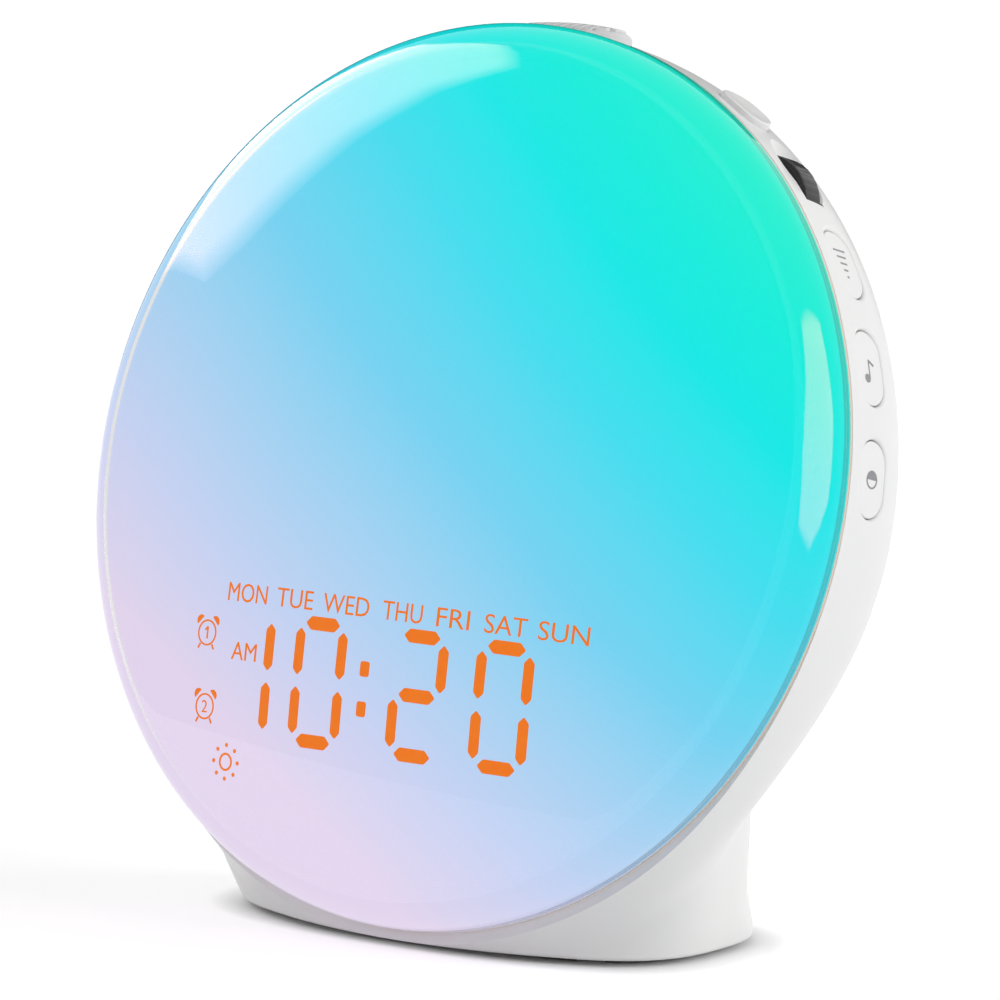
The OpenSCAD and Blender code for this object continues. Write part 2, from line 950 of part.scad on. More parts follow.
module snooze_crown(lower) {
    face_disc(0, snooze_depth + snooze_w, face_r + snooze_rise - crown_r);
    translate([0, 0, -snooze_depth])
        rotate_extrude($fn = 180)
            translate([face_r + snooze_rise - crown_r, 0])
                intersection() {
                    circle(r = crown_r - lower);
                    translate([0, -crown_r])
                        square([2 * crown_r, 2 * crown_r]);
                }
}

module snooze_pad() {
    color("#e9e9ea")
        on_rim(snooze_angle)
            union() {
                intersection() {
                    rim_slot(cap_under - eps, face_r + key_reach, snooze_l, snooze_w, snooze_depth);
                    snooze_crown(rib_depth);
                }
                // grip ribs that run from front to back
                intersection() {
                    rim_slot(cap_under - eps, face_r + key_reach, snooze_l - 2 * rib_margin,
                             snooze_w - 2 * rib_margin, snooze_depth);
                    snooze_crown(0);
                    for (k = [-ribs_each_side:ribs_each_side])
                        translate([cap_under, k * rib_pitch - rib_w / 2, -2 * snooze_depth])
                            cube([2 * key_reach, rib_w, 2 * snooze_depth]);
                }
                key_foot(snooze_l, snooze_w, snooze_depth);
            }
}

dish_r = 22;
dish_depth = 0.5;
module lamp_key() {
    color(shell_white)
        on_rim(lamp_key_angle)
            union() {
                difference() {
                    intersection() {
                        rim_slot(cap_under - eps, face_r + key_reach, lamp_key_l, key_w);
                        face_disc(0, 2 * key_depth, face_r + lamp_key_rise);
                    }
                    translate([face_r + lamp_key_rise + dish_r - dish_depth, 0, -key_depth])
                        sphere(r = dish_r);
                }
                key_foot(lamp_key_l, key_w);
            }
}

module radio_key() {
    side_key(side_keys[2]);
}

module sound_key() {
    side_key(side_keys[1]);
}

module dimmer_key() {
    side_key(side_keys[0]);
}

module alarm_one_key() {
    side_key(left_keys[0]);
}

module alarm_two_key() {
    side_key(left_keys[1]);
}

module colour_key() {
    side_key(left_keys[2]);
}

module at_speaker() {
    in_face()
        translate([0, speaker_up, 0])
            children();
}

grille_rows = 3;
grille_pitch = 5;
module speaker_grille() {
    color(shell_white)
        at_speaker()
            difference() {
                face_disc(grille_floor - grille_t, grille_floor, grille_d / 2);
                for (ring = [0:grille_rows])
                    let (count = max(1, 6 * ring))
                    for (k = [0:count - 1])
                        face_pin(ring * grille_pitch * cos(360 * k / count),
                                 ring * grille_pitch * sin(360 * k / count),
                                 grille_floor - grille_t - over, grille_floor + over, grille_hole_d / 2);
            }
}

module speaker_frame() {
    color(black)
        at_speaker()
            difference() {
                union() {
                    face_disc(speaker_back - speaker_flange_t, speaker_back, speaker_r);
                    translate([0, 0, -speaker_back + speaker_flange_t - eps])
                        cylinder(h = cone_l + eps, r1 = basket_r(speaker_flange_t) + basket_t,
                                 r2 = basket_r(basket_l) + basket_t);
                }
                translate([0, 0, -speaker_back])
                    rotate_extrude()
                        polygon([
                            [0, -over], [basket_r(-over), -over],
                            [basket_r(basket_l + over), basket_l + over], [0, basket_l + over]
                        ]);
                for (a = speaker_screw_angles)
                    face_pin(speaker_screw_ring * cos(a), speaker_screw_ring * sin(a),
                             speaker_back - speaker_flange_t - over, speaker_back + over,
                             board_screw_r + screw_gap);
            }
}

// The paper cone with its dust cap, inside the basket.
module speaker_cone() {
    outer = [for (h = [cone_start, cone_l]) [basket_r(h) - cone_gap, h]];
    inner = [for (h = [cone_l - cone_t, cone_start]) [basket_r(h) - cone_gap - cone_t, h]];
    color("#3b3b3d")
        at_speaker()
            translate([0, 0, -speaker_back])
                rotate_extrude()
                    polygon(concat(outer, [[0, cone_l], [0, cone_l - cone_t]], inner));
}

module speaker_magnet() {
    color(steel)
        at_speaker()
            face_disc(speaker_back - speaker_flange_t - cone_l - magnet_l,
                      speaker_back - speaker_flange_t - cone_l, magnet_r);
}

module speaker_screws() {
    color(steel)
        at_speaker()
            for (a = speaker_screw_angles)
                face_screw(speaker_screw_ring * cos(a), speaker_screw_ring * sin(a),
                           speaker_back - speaker_flange_t, wall_inside + speaker_hole_l - hole_end,
                           board_screw_r, true);
}

module power_socket() {
    color(black)
        translate([0, socket_face_y, socket_z])
            difference() {
                union() {
                    rotate([-90, 0, 0])
                        translate([0, 0, -socket_nose_l - over])
                            cylinder(h = socket_nose_l + over, d = socket_nose_d);
                    translate([-socket_body.x / 2, -socket_nose_l - socket_body.y, -socket_body.z / 2])
                        cube(socket_body);
                }
                rotate([-90, 0, 0])
                    translate([0, 0, -socket_bore_l])
                        cylinder(h = socket_bore_l + over, d = socket_bore);
            }
}

module socket_pin() {
    color(steel)
        translate([0, socket_face_y - socket_bore_l, socket_z])
            rotate([-90, 0, 0])
                cylinder(h = socket_bore_l - over, r = socket_pin_r, $fn = 32);
}

module at_door() {
    translate([door_x, 0, 0])
        children();
}

module base_plate() {
    color("#e6e4e3")
        difference() {
            translate([0, 0, pad_t])
                linear_extrude(base_t)
                    foot_outline(base_inset);
            for (p = base_screw_places)
                translate([p.x, p.y, 0]) {
                    cylinder(h = base_top + over, r = base_screw_r + screw_gap, $fn = 32);
                    cylinder(h = pad_t + screw_sink, r = head_r + head_gap, $fn = 32);
                }
            at_door() {
                cylinder(h = base_top + over, r = door_r + door_gap);
                // slots that let the door's lugs through once it is turned
                linear_extrude(base_top + over)
                    intersection() {
                        circle(r = lug_r + head_gap);
                        union()
                            for (side = [0, 180])
                                sector(lug_r, side + door_turn, lug_angle + lug_play);
                    }
            }
        }
}

module base_screws() {
    color(steel)
        for (p = base_screw_places)
            translate([p.x, p.y, pad_t]) {
                cylinder(h = base_screw_l, r = base_screw_r, $fn = 32);
                cylinder(h = screw_sink, r = head_r, $fn = 32);
            }
}

module foot_pad() {
    color("#3a3a3c")
        difference() {
            linear_extrude(pad_t)
                foot_outline(pad_inset);
            for (p = base_screw_places)
                translate([p.x, p.y, -over])
                    cylinder(h = pad_t + 2 * over, r = head_r + 3 * head_gap, $fn = 32);
            at_door()
                translate([0, 0, -over])
                    cylinder(h = pad_t + 2 * over, r = lug_r + 3 * head_gap);
        }
}

module battery_door() {
    color("#e6e4e3")
        at_door()
            difference() {
                union() {
                    translate([0, 0, door_bottom])
                        cylinder(h = door_t + lug_lift + lug_t, r = door_r);
                    translate([0, 0, base_top + lug_lift])
                        linear_extrude(lug_t)
                            intersection() {
                                circle(r = lug_r);
                                union()
                                    for (side = [0, 180])
                                        sector(lug_r, side, lug_angle);
                            }
                }
                // the cup for the cell, and the slot for a coin
                translate([0, 0, door_bottom + door_floor])
                    cylinder(h = cell_t + over, r = cell_d / 2 + cell_gap);
                translate([-cell_d / 2, -coin_slot_w / 2, 0])
                    cube([cell_d, coin_slot_w, door_bottom + coin_slot_depth]);
            }
}

module coin_cell() {
    color(steel)
        at_door()
            translate([0, 0, door_bottom + door_floor])
                cylinder(h = cell_t, r = cell_d / 2);
}

// A spring strip: its foot lies on the base plate, and its leaf reaches over the cell.
module cell_contact() {
    leg_y = lug_r + 0.7;
    leaf_z = door_bottom + door_floor + cell_t + leaf_gap;
    color("#c9a25a")
        at_door()
            translate([-contact_w / 2, 0, 0]) {
                translate([0, leg_y, base_top])
                    cube([contact_w, contact_foot, contact_t]);
                translate([0, leg_y, base_top])
                    cube([contact_w, contact_t, leaf_z - base_top + contact_t]);
                translate([0, -leaf_reach, leaf_z])
                    cube([contact_w, leg_y + leaf_reach + eps, contact_t]);
            }
}

housing();
face_cover();
cover_seal();
diffuser();
light_frame();
frame_screws();
light_board();
light_leds();
display_board();
display_block();
digit_bars();
main_board();
board_screws();
main_chips();
key_switches();
volume_pot();
volume_wheel();
snooze_pad();
lamp_key();
radio_key();
sound_key();
dimmer_key();
alarm_one_key();
alarm_two_key();
colour_key();
speaker_grille();
speaker_frame();
speaker_cone();
speaker_magnet();
speaker_screws();
power_socket();
socket_pin();
base_plate();
base_screws();
foot_pad();
battery_door();
coin_cell();
cell_contact();
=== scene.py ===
import json
import math

import bmesh
import bpy
import numpy as np
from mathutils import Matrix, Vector


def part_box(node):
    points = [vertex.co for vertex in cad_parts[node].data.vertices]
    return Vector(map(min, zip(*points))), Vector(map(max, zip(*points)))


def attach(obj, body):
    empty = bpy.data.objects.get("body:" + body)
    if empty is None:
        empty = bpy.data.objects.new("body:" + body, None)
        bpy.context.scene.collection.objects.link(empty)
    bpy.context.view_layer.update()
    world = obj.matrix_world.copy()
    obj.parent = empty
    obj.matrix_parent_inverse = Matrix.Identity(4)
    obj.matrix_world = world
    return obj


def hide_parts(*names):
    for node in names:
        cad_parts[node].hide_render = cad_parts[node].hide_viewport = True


# A sunrise alarm clock: a white bowl on a foot, with a domed face that glows.
# The row frame is in metres, with the front along -Y and the table at Z 0.
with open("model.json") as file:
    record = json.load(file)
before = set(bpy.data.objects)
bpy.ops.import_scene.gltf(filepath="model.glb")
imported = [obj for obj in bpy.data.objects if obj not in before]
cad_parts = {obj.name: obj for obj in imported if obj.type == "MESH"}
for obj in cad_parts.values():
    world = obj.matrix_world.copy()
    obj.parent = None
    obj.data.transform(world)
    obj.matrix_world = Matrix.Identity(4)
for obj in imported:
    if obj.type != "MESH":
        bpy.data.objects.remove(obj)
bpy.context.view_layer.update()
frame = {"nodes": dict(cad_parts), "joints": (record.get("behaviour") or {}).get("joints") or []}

# ---- Housing ----
# One moulded shell of satin white ABS: a bowl behind the face and a foot that flares to
# the table, blended into each other. The keys, the wheel, the grille and the socket sit
# in openings whose mouths are slightly rounded.

# The face leans back. Places on it are (across, up, forward) in mm from the centre of the
# plane on which the cover stands on its foam ring.
joints = {joint["name"]: joint for joint in frame["joints"]}
forward = Vector(joints["volume_turn"]["axis"])
across = Vector((1, 0, 0))
up = forward.cross(across)
seal_t = 0.6
seal_low, seal_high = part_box("cover_seal")
cover_low, cover_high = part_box("face_cover")
face_centre = (seal_low + seal_high) / 2 + forward * seal_t / 2000
face_r = (cover_high.x - cover_low.x) * 500
face_axes = np.array([across, up, forward])
face_y = face_centre.y * 1000
face_z = face_centre.z * 1000
tilt = math.asin(forward.z)


def from_face(points):
    """Face places in mm, as row frame places in metres."""
    return np.array(face_centre) + np.asarray(points, float) @ face_axes / 1000


# The bowl's section is a flat-bottomed curve, which gets shallower below the face's middle.
bowl_depth = 46.2
bowl_power = 3.4
lower_taper = 0.67
taper_start = 2.6
taper_span = 60
front_overrun = 3
# The foot is a superellipse that splays to its sides and flares to the back.
foot_half_w = 55
foot_half_d = 29
foot_power = 2.84
foot_splay = 8.2
splay_h = 27.4
foot_flare = 19
flare_h = 12.5
flare_power = 1.5
neck_h = 12
neck_lean = 0.19
front_lean = 0.05
foot_top = 60
blend_r = 11.3


def housing_gap(points, inset):
    """How far row frame points in mm lie outside the housing's form, made smaller by an inset."""
    x, y, z = np.moveaxis(points, -1, 0)
    rise = (y - face_y) * math.sin(tilt) + (z - face_z) * math.cos(tilt)
    behind = (y - face_y) * math.cos(tilt) - (z - face_z) * math.sin(tilt)
    low = np.maximum(0, -rise - taper_start) / taper_span
    depth = behind * (1 + lower_taper * low**2)
    part = np.clip(depth / (bowl_depth - inset), 0, 1)
    bowl_r = (face_r - inset) * np.sqrt(1 - part**bowl_power)
    bowl = np.hypot(x, rise) - bowl_r + np.maximum(0, depth - bowl_depth + inset)
    bowl = np.maximum(bowl, -front_overrun - behind)

    half_w = foot_half_w + foot_splay * (1 - (1 - np.minimum(z / splay_h, 1)) ** 2) - inset
    flare = foot_flare * (1 - np.exp(-((np.maximum(z, 0) / flare_h) ** flare_power)))
    back = foot_half_d - flare + neck_lean * np.maximum(z - neck_h, 0) - inset
    front = -foot_half_d + front_lean * z + inset
    half_d = (back - front) / 2
    sides = np.abs(x / half_w), np.abs((y - (back + front) / 2) / half_d)
    oval = (sides[0] ** foot_power + sides[1] ** foot_power) ** (1 / foot_power)
    foot = np.maximum((oval - 1) * np.minimum(half_w, half_d), z - foot_top)

    share = np.clip(0.5 + 0.5 * (foot - bowl) / blend_r, 0, 1)
    return foot * (1 - share) + bowl * share - blend_r * share * (1 - share)


def shade(mesh, angle):
    """Smooth shading, with a hard edge wherever two faces meet at more than the angle."""
    mesh.shade_smooth()
    mesh.set_sharp_from_angle(angle=math.radians(angle))


def add_piece(name, points, faces, material, body="base", replaces=(), smooth_angle=35):
    """An object from row frame points in metres, which rides a body and stands for CAD nodes."""
    mesh = bpy.data.meshes.new(name)
    mesh.from_pydata([tuple(p) for p in points], [], [tuple(f) for f in faces])
    mesh.validate()
    piece = bpy.data.objects.new(name, mesh)
    bpy.context.scene.collection.objects.link(piece)
    tidy = bmesh.new()
    tidy.from_mesh(mesh)
    bmesh.ops.remove_doubles(tidy, verts=tidy.verts, dist=1e-6)
    bmesh.ops.recalc_face_normals(tidy, faces=tidy.faces)
    tidy.to_mesh(mesh)
    tidy.free()
    if material:
        mesh.materials.append(material)
    shade(mesh, smooth_angle)
    if body:
        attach(piece, body)
    if replaces:
        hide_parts(*replaces)
    return piece


def add_cutter(points, faces):
    """A solid that will be cut out of a piece."""
    return add_piece("cutter", points, faces, None, body=None)


def tube_faces(rings, count, closed=False):
    """Quads between successive rings of a grid, each of count points."""
    faces = []
    for i in range(rings if closed else rings - 1):
        for j in range(count):
            a, b = i * count, (i + 1) % rings * count
            faces.append((a + j, a + (j + 1) % count, b + (j + 1) % count, b + j))
    return faces


def capped_tube(rings, count):
    """The same quads, and a face over each end."""
    caps = [range(count - 1, -1, -1), range((rings - 1) * count, rings * count)]
    return tube_faces(rings, count) + caps


over_top = 0.2
start_swing = 27
ray_reach = 110.0
halvings = 26


def lofted_form(name, bottom, inset, slices, rays, edge_r=0.0, edge_steps=7):
    """The housing's form as a closed mesh: level slices, on which rays find the surface."""
    top = face_z + (face_r - inset) * math.cos(tilt) + over_top
    levels = bottom + (top - bottom) * (1 - np.cos(np.linspace(0, math.pi, slices))) / 2
    insets = np.full(slices, float(inset))
    if edge_r:
        turn = np.radians(np.linspace(0, 90, edge_steps))
        above = levels[levels > bottom + edge_r * 1.2]
        levels = np.concatenate([bottom + edge_r * (1 - np.cos(turn)), above])
        rounding_off = inset + edge_r * (1 - np.sin(turn))
        insets = np.concatenate([rounding_off, np.full(len(above), float(inset))])
    slices = len(levels)
    angles = np.linspace(0, 2 * math.pi, rays, endpoint=False)
    ways = np.stack([2 * np.cos(angles), np.sin(angles), 0 * angles], -1)
    ways /= np.linalg.norm(ways, axis=1, keepdims=True)
    # The rays start inside the form: behind the face, and further back down in the foot.
    lean = (levels - face_z) * math.tan(tilt) + face_y
    start = np.zeros((slices, rays, 3))
    start[..., 1] = (lean + start_swing * (1 - levels / top) ** 2 - 1)[:, None]
    start[..., 2] = levels[:, None]
    near, far = np.zeros((slices, rays)), np.full((slices, rays), ray_reach)
    for _ in range(halvings):
        middle = (near + far) / 2
        inside = housing_gap(start + middle[..., None] * ways, insets[:, None]) < 0
        near, far = np.where(inside, middle, near), np.where(inside, far, middle)
    points = (start + near[..., None] * ways).reshape(-1, 3)
    return add_piece(name, points / 1000, capped_tube(slices, rays), None, body=None)


def keep_behind(piece, depth):
    """Cuts away what lies in front of a plane parallel to the face, and closes the cut."""
    mesh = bmesh.new()
    mesh.from_mesh(piece.data)
    result = bmesh.ops.bisect_plane(
        mesh,
        geom=mesh.verts[:] + mesh.edges[:] + mesh.faces[:],
        plane_co=Vector(from_face((0, 0, -depth))),
        plane_no=forward,
        clear_outer=True,
        dist=1e-7,
    )
    edges = [e for e in result["geom_cut"] if isinstance(e, bmesh.types.BMEdge)]
    bmesh.ops.contextual_create(mesh, geom=edges)
    mesh.to_mesh(piece.data)
    mesh.free()


lip_depth = 0.6
wall = 3.6
hollow_front = 3.4
foot_edge_r = 0.9
shell_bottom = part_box("housing")[0].z * 1000
housing = lofted_form("housing_shell", shell_bottom, 0, 220, 256, foot_edge_r)
keep_behind(housing, lip_depth)
hollow = lofted_form("hollow", shell_bottom - 1, wall, 90, 128)
keep_behind(hollow, hollow_front)

# Inside the rim, the light frame's disc lies in a rebate, on a ledge 3 mm wide.
rebate_r = 86
rebate_depth = 2.2
ledge_r = 83
ledge_depth = 6
axis_r = 1e-4


def revolved(profile, count=256, middle=(0, 0)):
    """Points and faces of a closed (radius, forward) outline turned round the face's normal.

    What lies on the axis keeps a hair's radius, and add_piece merges it into one point.
    """
    turns = np.linspace(0, 2 * math.pi, count, endpoint=False)
    radius, level = np.asarray(profile, float).T[..., None]
    radius = np.maximum(radius, axis_r)
    points = np.stack(
        [
            middle[0] + radius * np.cos(turns),
            middle[1] + radius * np.sin(turns),
            np.repeat(level, count, 1),
        ],
        -1,
    )
    return points.reshape(-1, 3), tube_faces(len(profile), count, closed=True)


def rim_rebate(front=2):
    """The cutter for the frame's rebate, and for the round room behind its ledge."""
    profile = [(0, front), (rebate_r, front), (rebate_r, -rebate_depth)]
    profile += [(ledge_r, -rebate_depth), (ledge_r, -ledge_depth), (0, -ledge_depth)]
    points, faces = revolved(profile)
    return add_cutter(from_face(points), faces)


# The keys' openings follow the rim. Each key stands where its joint points.
key_size = (15, 8.6)
lamp_key_size = (12, 8.6)
snooze_size = (24, 15)
key_depth = 8.7
snooze_depth = 11.4
key_gap = 0.25
mouth_r = 0.8
mouth_slope = math.tan(math.radians(12))
flush_keys = ["radio_key", "sound_key", "dimmer_key"]
flush_keys += ["alarm_one_key", "alarm_two_key", "colour_key"]


def key_angle(node):
    """Where a key stands on the rim, in degrees from the right."""
    inward = Vector(joints[node + "_press"]["axis"])
    return math.degrees(math.atan2(-inward.dot(up), -inward.dot(across)))


def rim_slot(size, steps, angle, depth):
    """A capsule-shaped solid that points out along the rim's radius at an angle.

    Each step is (growth of the outline, height over the housing's skin or None, radius).
    """
    length, width = size
    ring = []
    for a in np.radians(np.linspace(0, 360, 72, endpoint=False)):
        side = (length - width) / 2 * (1 if math.sin(a) >= 0 else -1)
        c, s = math.cos(a), math.sin(a)
        ring.append((width / 2 * c, width / 2 * s + side, c, s))
    ring = np.array(ring)
    rows = []
    for grow, rise, radius in steps:
        behind = depth + ring[:, 0] + grow * ring[:, 2]
        turn = math.radians(angle) + (ring[:, 1] + grow * ring[:, 3]) / face_r
        skin = face_r * np.sqrt(1 - np.clip(behind / bowl_depth, 0, 1) ** bowl_power)
        out = radius if rise is None else skin + rise
        rows.append(np.stack([out * np.cos(turn), out * np.sin(turn), -behind], -1))
    return from_face(np.concatenate(rows)), capped_tube(len(steps), len(ring))


def key_opening(node, size, depth, inner_r=face_r - 9, outer_r=face_r + 5, past_mouth=3):
    """The cutter for a key's opening, with a rounded mouth."""
    bends = [
        (key_gap + mouth_r * (1 - math.cos(a)), -mouth_r * (1 - math.sin(a)), None)
        for a in np.radians(np.linspace(0, 78, 6))
    ]
    grow = bends[-1][0] + past_mouth
    rise = bends[-1][1] + past_mouth * mouth_slope
    steps = [(key_gap, None, inner_r), *bends, (grow, rise, None), (grow, None, outer_r)]
    return add_cutter(*rim_slot(size, steps, key_angle(node), depth))


def polar(radius, angle):
    """A place on the face by its distance from the middle and its angle in degrees."""
    return radius * math.cos(math.radians(angle)), radius * math.sin(math.radians(angle))


# The wheel turns in a slot, at the bottom of a scoop.
wheel_r = 9.8
wheel_proud = 1.4
wheel_front = 4.6
wheel_back = 10
wheel_angle = 46.3
wheel_middle = polar(face_r + wheel_proud - wheel_r, wheel_angle)


def wheel_slot(side_gap=0.3, round_gap=0.5):
    """The cutter for the slot in which the wheel turns."""
    front, back, r = -wheel_front + side_gap, -wheel_back - side_gap, wheel_r + round_gap
    points, faces = revolved([(0, front), (r, front), (r, back), (0, back)], 128, wheel_middle)
    return add_cutter(from_face(points), faces)


def finger_scoop(angle=47.9, length=24, r=6, ring=92.5, depth=9, rings=49, count=96):
    """A spindle lying along the rim, which cuts the scoop that lets a finger reach the wheel."""
    arc_r = ((length / 2) ** 2 + r**2) / (2 * r)
    run = np.linspace(-length / 2, length / 2, rings)
    size = np.maximum(r - arc_r + np.sqrt(arc_r**2 - run**2), axis_r)
    turns = np.linspace(0, 2 * math.pi, count, endpoint=False)
    out = ring + size[:, None] * np.cos(turns)
    back = -depth + size[:, None] * np.sin(turns)
    side = np.repeat(run[:, None], count, 1)
    c, s = polar(1, angle)
    points = np.stack([out * c - side * s, out * s + side * c, back], -1).reshape(-1, 3)
    return add_cutter(from_face(points), tube_faces(rings, count))


# The grille's recess has a drafted mouth and the sound opening behind it.
speaker_up = 10
grille_r = 19
grille_floor = 41.4
grille_face = 43.2
sound_opening_r = 16.5


def grille_recess(inner=-38, outer=-47.5, gap=0.2, draft=1.2):
    """The cutter for the grille's recess."""
    r = grille_r + gap
    profile = [(0, inner), (sound_opening_r, inner), (sound_opening_r, -grille_floor)]
    profile += [(r, -grille_floor), (r, -grille_face - 0.8), (r + draft, outer), (0, outer)]
    points, faces = revolved(profile, 160, (0, speaker_up))
    return add_cutter(from_face(points), faces)


# The socket's recess is turned about an axis along Y.
socket_low, socket_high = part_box("power_socket")
socket_y = socket_high.y * 1000
socket_z = (socket_low.z + socket_high.z) * 500


def socket_recess(nose_r=4.7, recess_r=6.5, straight=2.3, bevel=2.5, run=9):
    """The cutter for the socket's recess, with a bevelled mouth, and for its nose."""
    y = socket_y
    profile = [(0, y - run), (nose_r, y - run), (nose_r, y), (recess_r, y)]
    profile += [(recess_r, y + straight), (recess_r + bevel, y + straight + bevel)]
    profile += [(recess_r + bevel, y + run), (0, y + run)]
    points, faces = revolved(profile, 96, (0, socket_z))
    return add_cutter(points[:, [0, 2, 1]] / 1000, faces)


def base_opening(inset=2.4, height=3.2, count=192):
    """The cutter for the rebate of the base plate, with the outline of the foot."""
    turns = np.linspace(0, 2 * math.pi, count, endpoint=False)
    outline = [
        np.sign(wave) * np.abs(wave) ** (2 / foot_power) * (half - inset)
        for wave, half in ((np.cos(turns), foot_half_w), (np.sin(turns), foot_half_d))
    ]
    layers = [np.column_stack([*outline, np.full(count, level)]) for level in (-1.0, height)]
    return add_cutter(np.concatenate(layers) / 1000, capped_tube(2, count))


def cut(piece, material, cutters):
    """Takes the cutters' solids away from a piece, and removes them."""
    for cutter in cutters:
        step = piece.modifiers.new("cut", "BOOLEAN")
        step.operation = "DIFFERENCE"
        step.solver = "MANIFOLD"
        step.object = cutter
    graph = bpy.context.evaluated_depsgraph_get()
    mesh = bpy.data.meshes.new_from_object(piece.evaluated_get(graph))
    piece.modifiers.clear()
    piece.data = mesh
    mesh.materials.clear()
    mesh.materials.append(material)
    shade(mesh, 30)
    for cutter in cutters:
        bpy.data.objects.remove(cutter)


def linear(hex_colour):
    """An sRGB hex colour as a linear RGBA colour."""
    channels = [int(hex_colour[i : i + 2], 16) / 255 for i in (1, 3, 5)]
    return [c / 12.92 if c <= 0.04045 else ((c + 0.055) / 1.055) ** 2.4 for c in channels] + [1]


def new_material(name, **settings):
    """A material with a Principled shader. Returns it and the shader."""
    material = bpy.data.materials.new(name)
    material.use_nodes = True
    shader = material.node_tree.nodes["Principled BSDF"]
    for socket, value in settings.items():
        shader.inputs[socket.replace("_", " ")].default_value = value
    return material, shader


def feed(material, node, **links):
    """Links outputs to a node's sockets, by their names, or as i0 and i1 where they share one."""
    for name, source in links.items():
        socket = int(name[1:]) if name in ("i0", "i1") else name.replace("_", " ")
        material.node_tree.links.new(source, node.inputs[socket])


def add(material, kind, settings=None, **links):
    """Adds a node. Settings go to its sockets, or else to the node. Links feed its sockets."""
    node = material.node_tree.nodes.new("ShaderNode" + kind)
    for name, value in (settings or {}).items():
        if name == "i1":
            node.inputs[1].default_value = value
        elif name in node.inputs:
            node.inputs[name].default_value = value
        else:
            setattr(node, name, value)
    feed(material, node, **links)
    return node


def grained(name, colour, dark, roughness, grain_mm, bump_mm=0.01, **settings):
    """A material whose colour drifts a little, and whose surface has a fine grain.

    The real grain is finer than 0.1 mm, and is drawn coarser, so that it shows.
    """
    drift_mm = 55.6
    material, shader = new_material(name, **settings)
    place = add(material, "TexCoord").outputs["Object"]
    drift = add(material, "TexNoise", {"Scale": 1000 / drift_mm, "Detail": 2.0}, Vector=place)
    tint = add(material, "ValToRGB", Fac=drift.outputs["Fac"])
    for element, position, shown in zip(tint.color_ramp.elements, (0.35, 0.65), (dark, colour)):
        element.position = position
        element.color = linear(shown)
    grain = add(material, "TexNoise", {"Scale": 1000 / grain_mm, "Detail": 1.0}, Vector=place)
    span = {"To Min": roughness - 0.04, "To Max": roughness + 0.04}
    gloss = add(material, "MapRange", span, Value=grain.outputs["Fac"])
    relief = {"Distance": bump_mm / 1000, "Strength": 0.5}
    bump = add(material, "Bump", relief, Height=grain.outputs["Fac"])
    feed(
        material,
        shader,
        Base_Color=tint.outputs["Color"],
        Roughness=gloss.outputs["Result"],
        Normal=bump.outputs["Normal"],
    )
    return material


# ABS from a finely spark-eroded mould: a soft sheen, without a visible grain.
white_abs = grained("satin_white_abs", "#ededec", "#ebebeb", 0.32, 0.6)

cutters = [hollow, rim_rebate()]
cutters += [key_opening(node, key_size, key_depth) for node in flush_keys]
cutters.append(key_opening("lamp_key", lamp_key_size, key_depth))
cutters.append(key_opening("snooze_pad", snooze_size, snooze_depth))
cutters += [finger_scoop(), wheel_slot(), grille_recess(), socket_recess(), base_opening()]
cut(housing, white_abs, cutters)
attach(housing, "base")
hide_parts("housing")

# ---- Face cover ----
# A clear acrylic dome, 2.2 mm thick, with straight sides and a rounded shoulder. It is
# cemented to the housing through a foam ring.

cover_wall = 2.2
cover_side = 2
shoulder_r = 9
dome_r = 400
shoulder_steps = 24
dome_steps = 40
shoulder_middle = (face_r - shoulder_r, cover_side)
shoulder_turn = math.asin(shoulder_middle[0] / (dome_r - shoulder_r))
dome_middle = cover_side - (dome_r - shoulder_r) * math.cos(shoulder_turn)


def arc(middle, radius, start, end, steps):
    """Points of an arc, with its angles in degrees."""
    angles = np.radians(np.linspace(start, end, steps + 1))
    return [(middle[0] + radius * math.cos(a), middle[1] + radius * math.sin(a)) for a in angles]


def cover_arcs(inset):
    """The dome's half section as (radius, forward), from side to crown, smaller by an inset."""
    bend = 90 - math.degrees(shoulder_turn)
    shoulder = arc(shoulder_middle, shoulder_r - inset, 0, bend, shoulder_steps)
    return shoulder + arc((0, dome_middle), dome_r - inset, bend, 90, dome_steps)[1:]


# Injection-moulded, polished PMMA: glass-clear, with a haze that is only just felt. The tint
# keeps the white room's reflection from veiling the colours behind it.
haze_mm = 16.7
clear_acrylic, clear_shader = new_material(
    "polished_clear_acrylic",
    Transmission_Weight=1.0,
    IOR=1.49,
    Specular_Tint=(0.35, 0.35, 0.35, 1),
)
place = add(clear_acrylic, "TexCoord").outputs["Object"]
haze = add(clear_acrylic, "TexNoise", {"Scale": 1000 / haze_mm, "Detail": 2.0}, Vector=place)
polish = add(clear_acrylic, "MapRange", {"To Min": 0.0, "To Max": 0.03}, Value=haze.outputs["Fac"])
feed(clear_acrylic, clear_shader, Roughness=polish.outputs["Result"])

cover_foot = 0.03
foot_bevel = 0.3
cover_profile = [(face_r - foot_bevel, cover_foot), (face_r, foot_bevel), *cover_arcs(0)]
cover_profile += [*cover_arcs(cover_wall)[::-1], (face_r - cover_wall, cover_foot)]
points, faces = revolved(cover_profile)
cover = add_piece("clear_dome", from_face(points), faces, clear_acrylic, replaces=["face_cover"])

# ---- Diffuser ----
# A dome of milky acrylic, cemented into the cover along its rim. The coloured LEDs behind
# it make it glow, from pink at the lower left through blue to green at the upper right.

glow_way = (across * 0.6 + up * 0.8).normalized()
glow_reach = 0.09
glow_colours = [
    (0.08, "#e2d4ed"),
    (0.24, "#c5d2f3"),
    (0.37, "#a7d2f3"),
    (0.53, "#74d2f2"),
    (0.69, "#3fddef"),
    (0.81, "#00e8e7"),
    (0.90, "#00eddc"),
    (0.99, "#1cf0d0"),
]


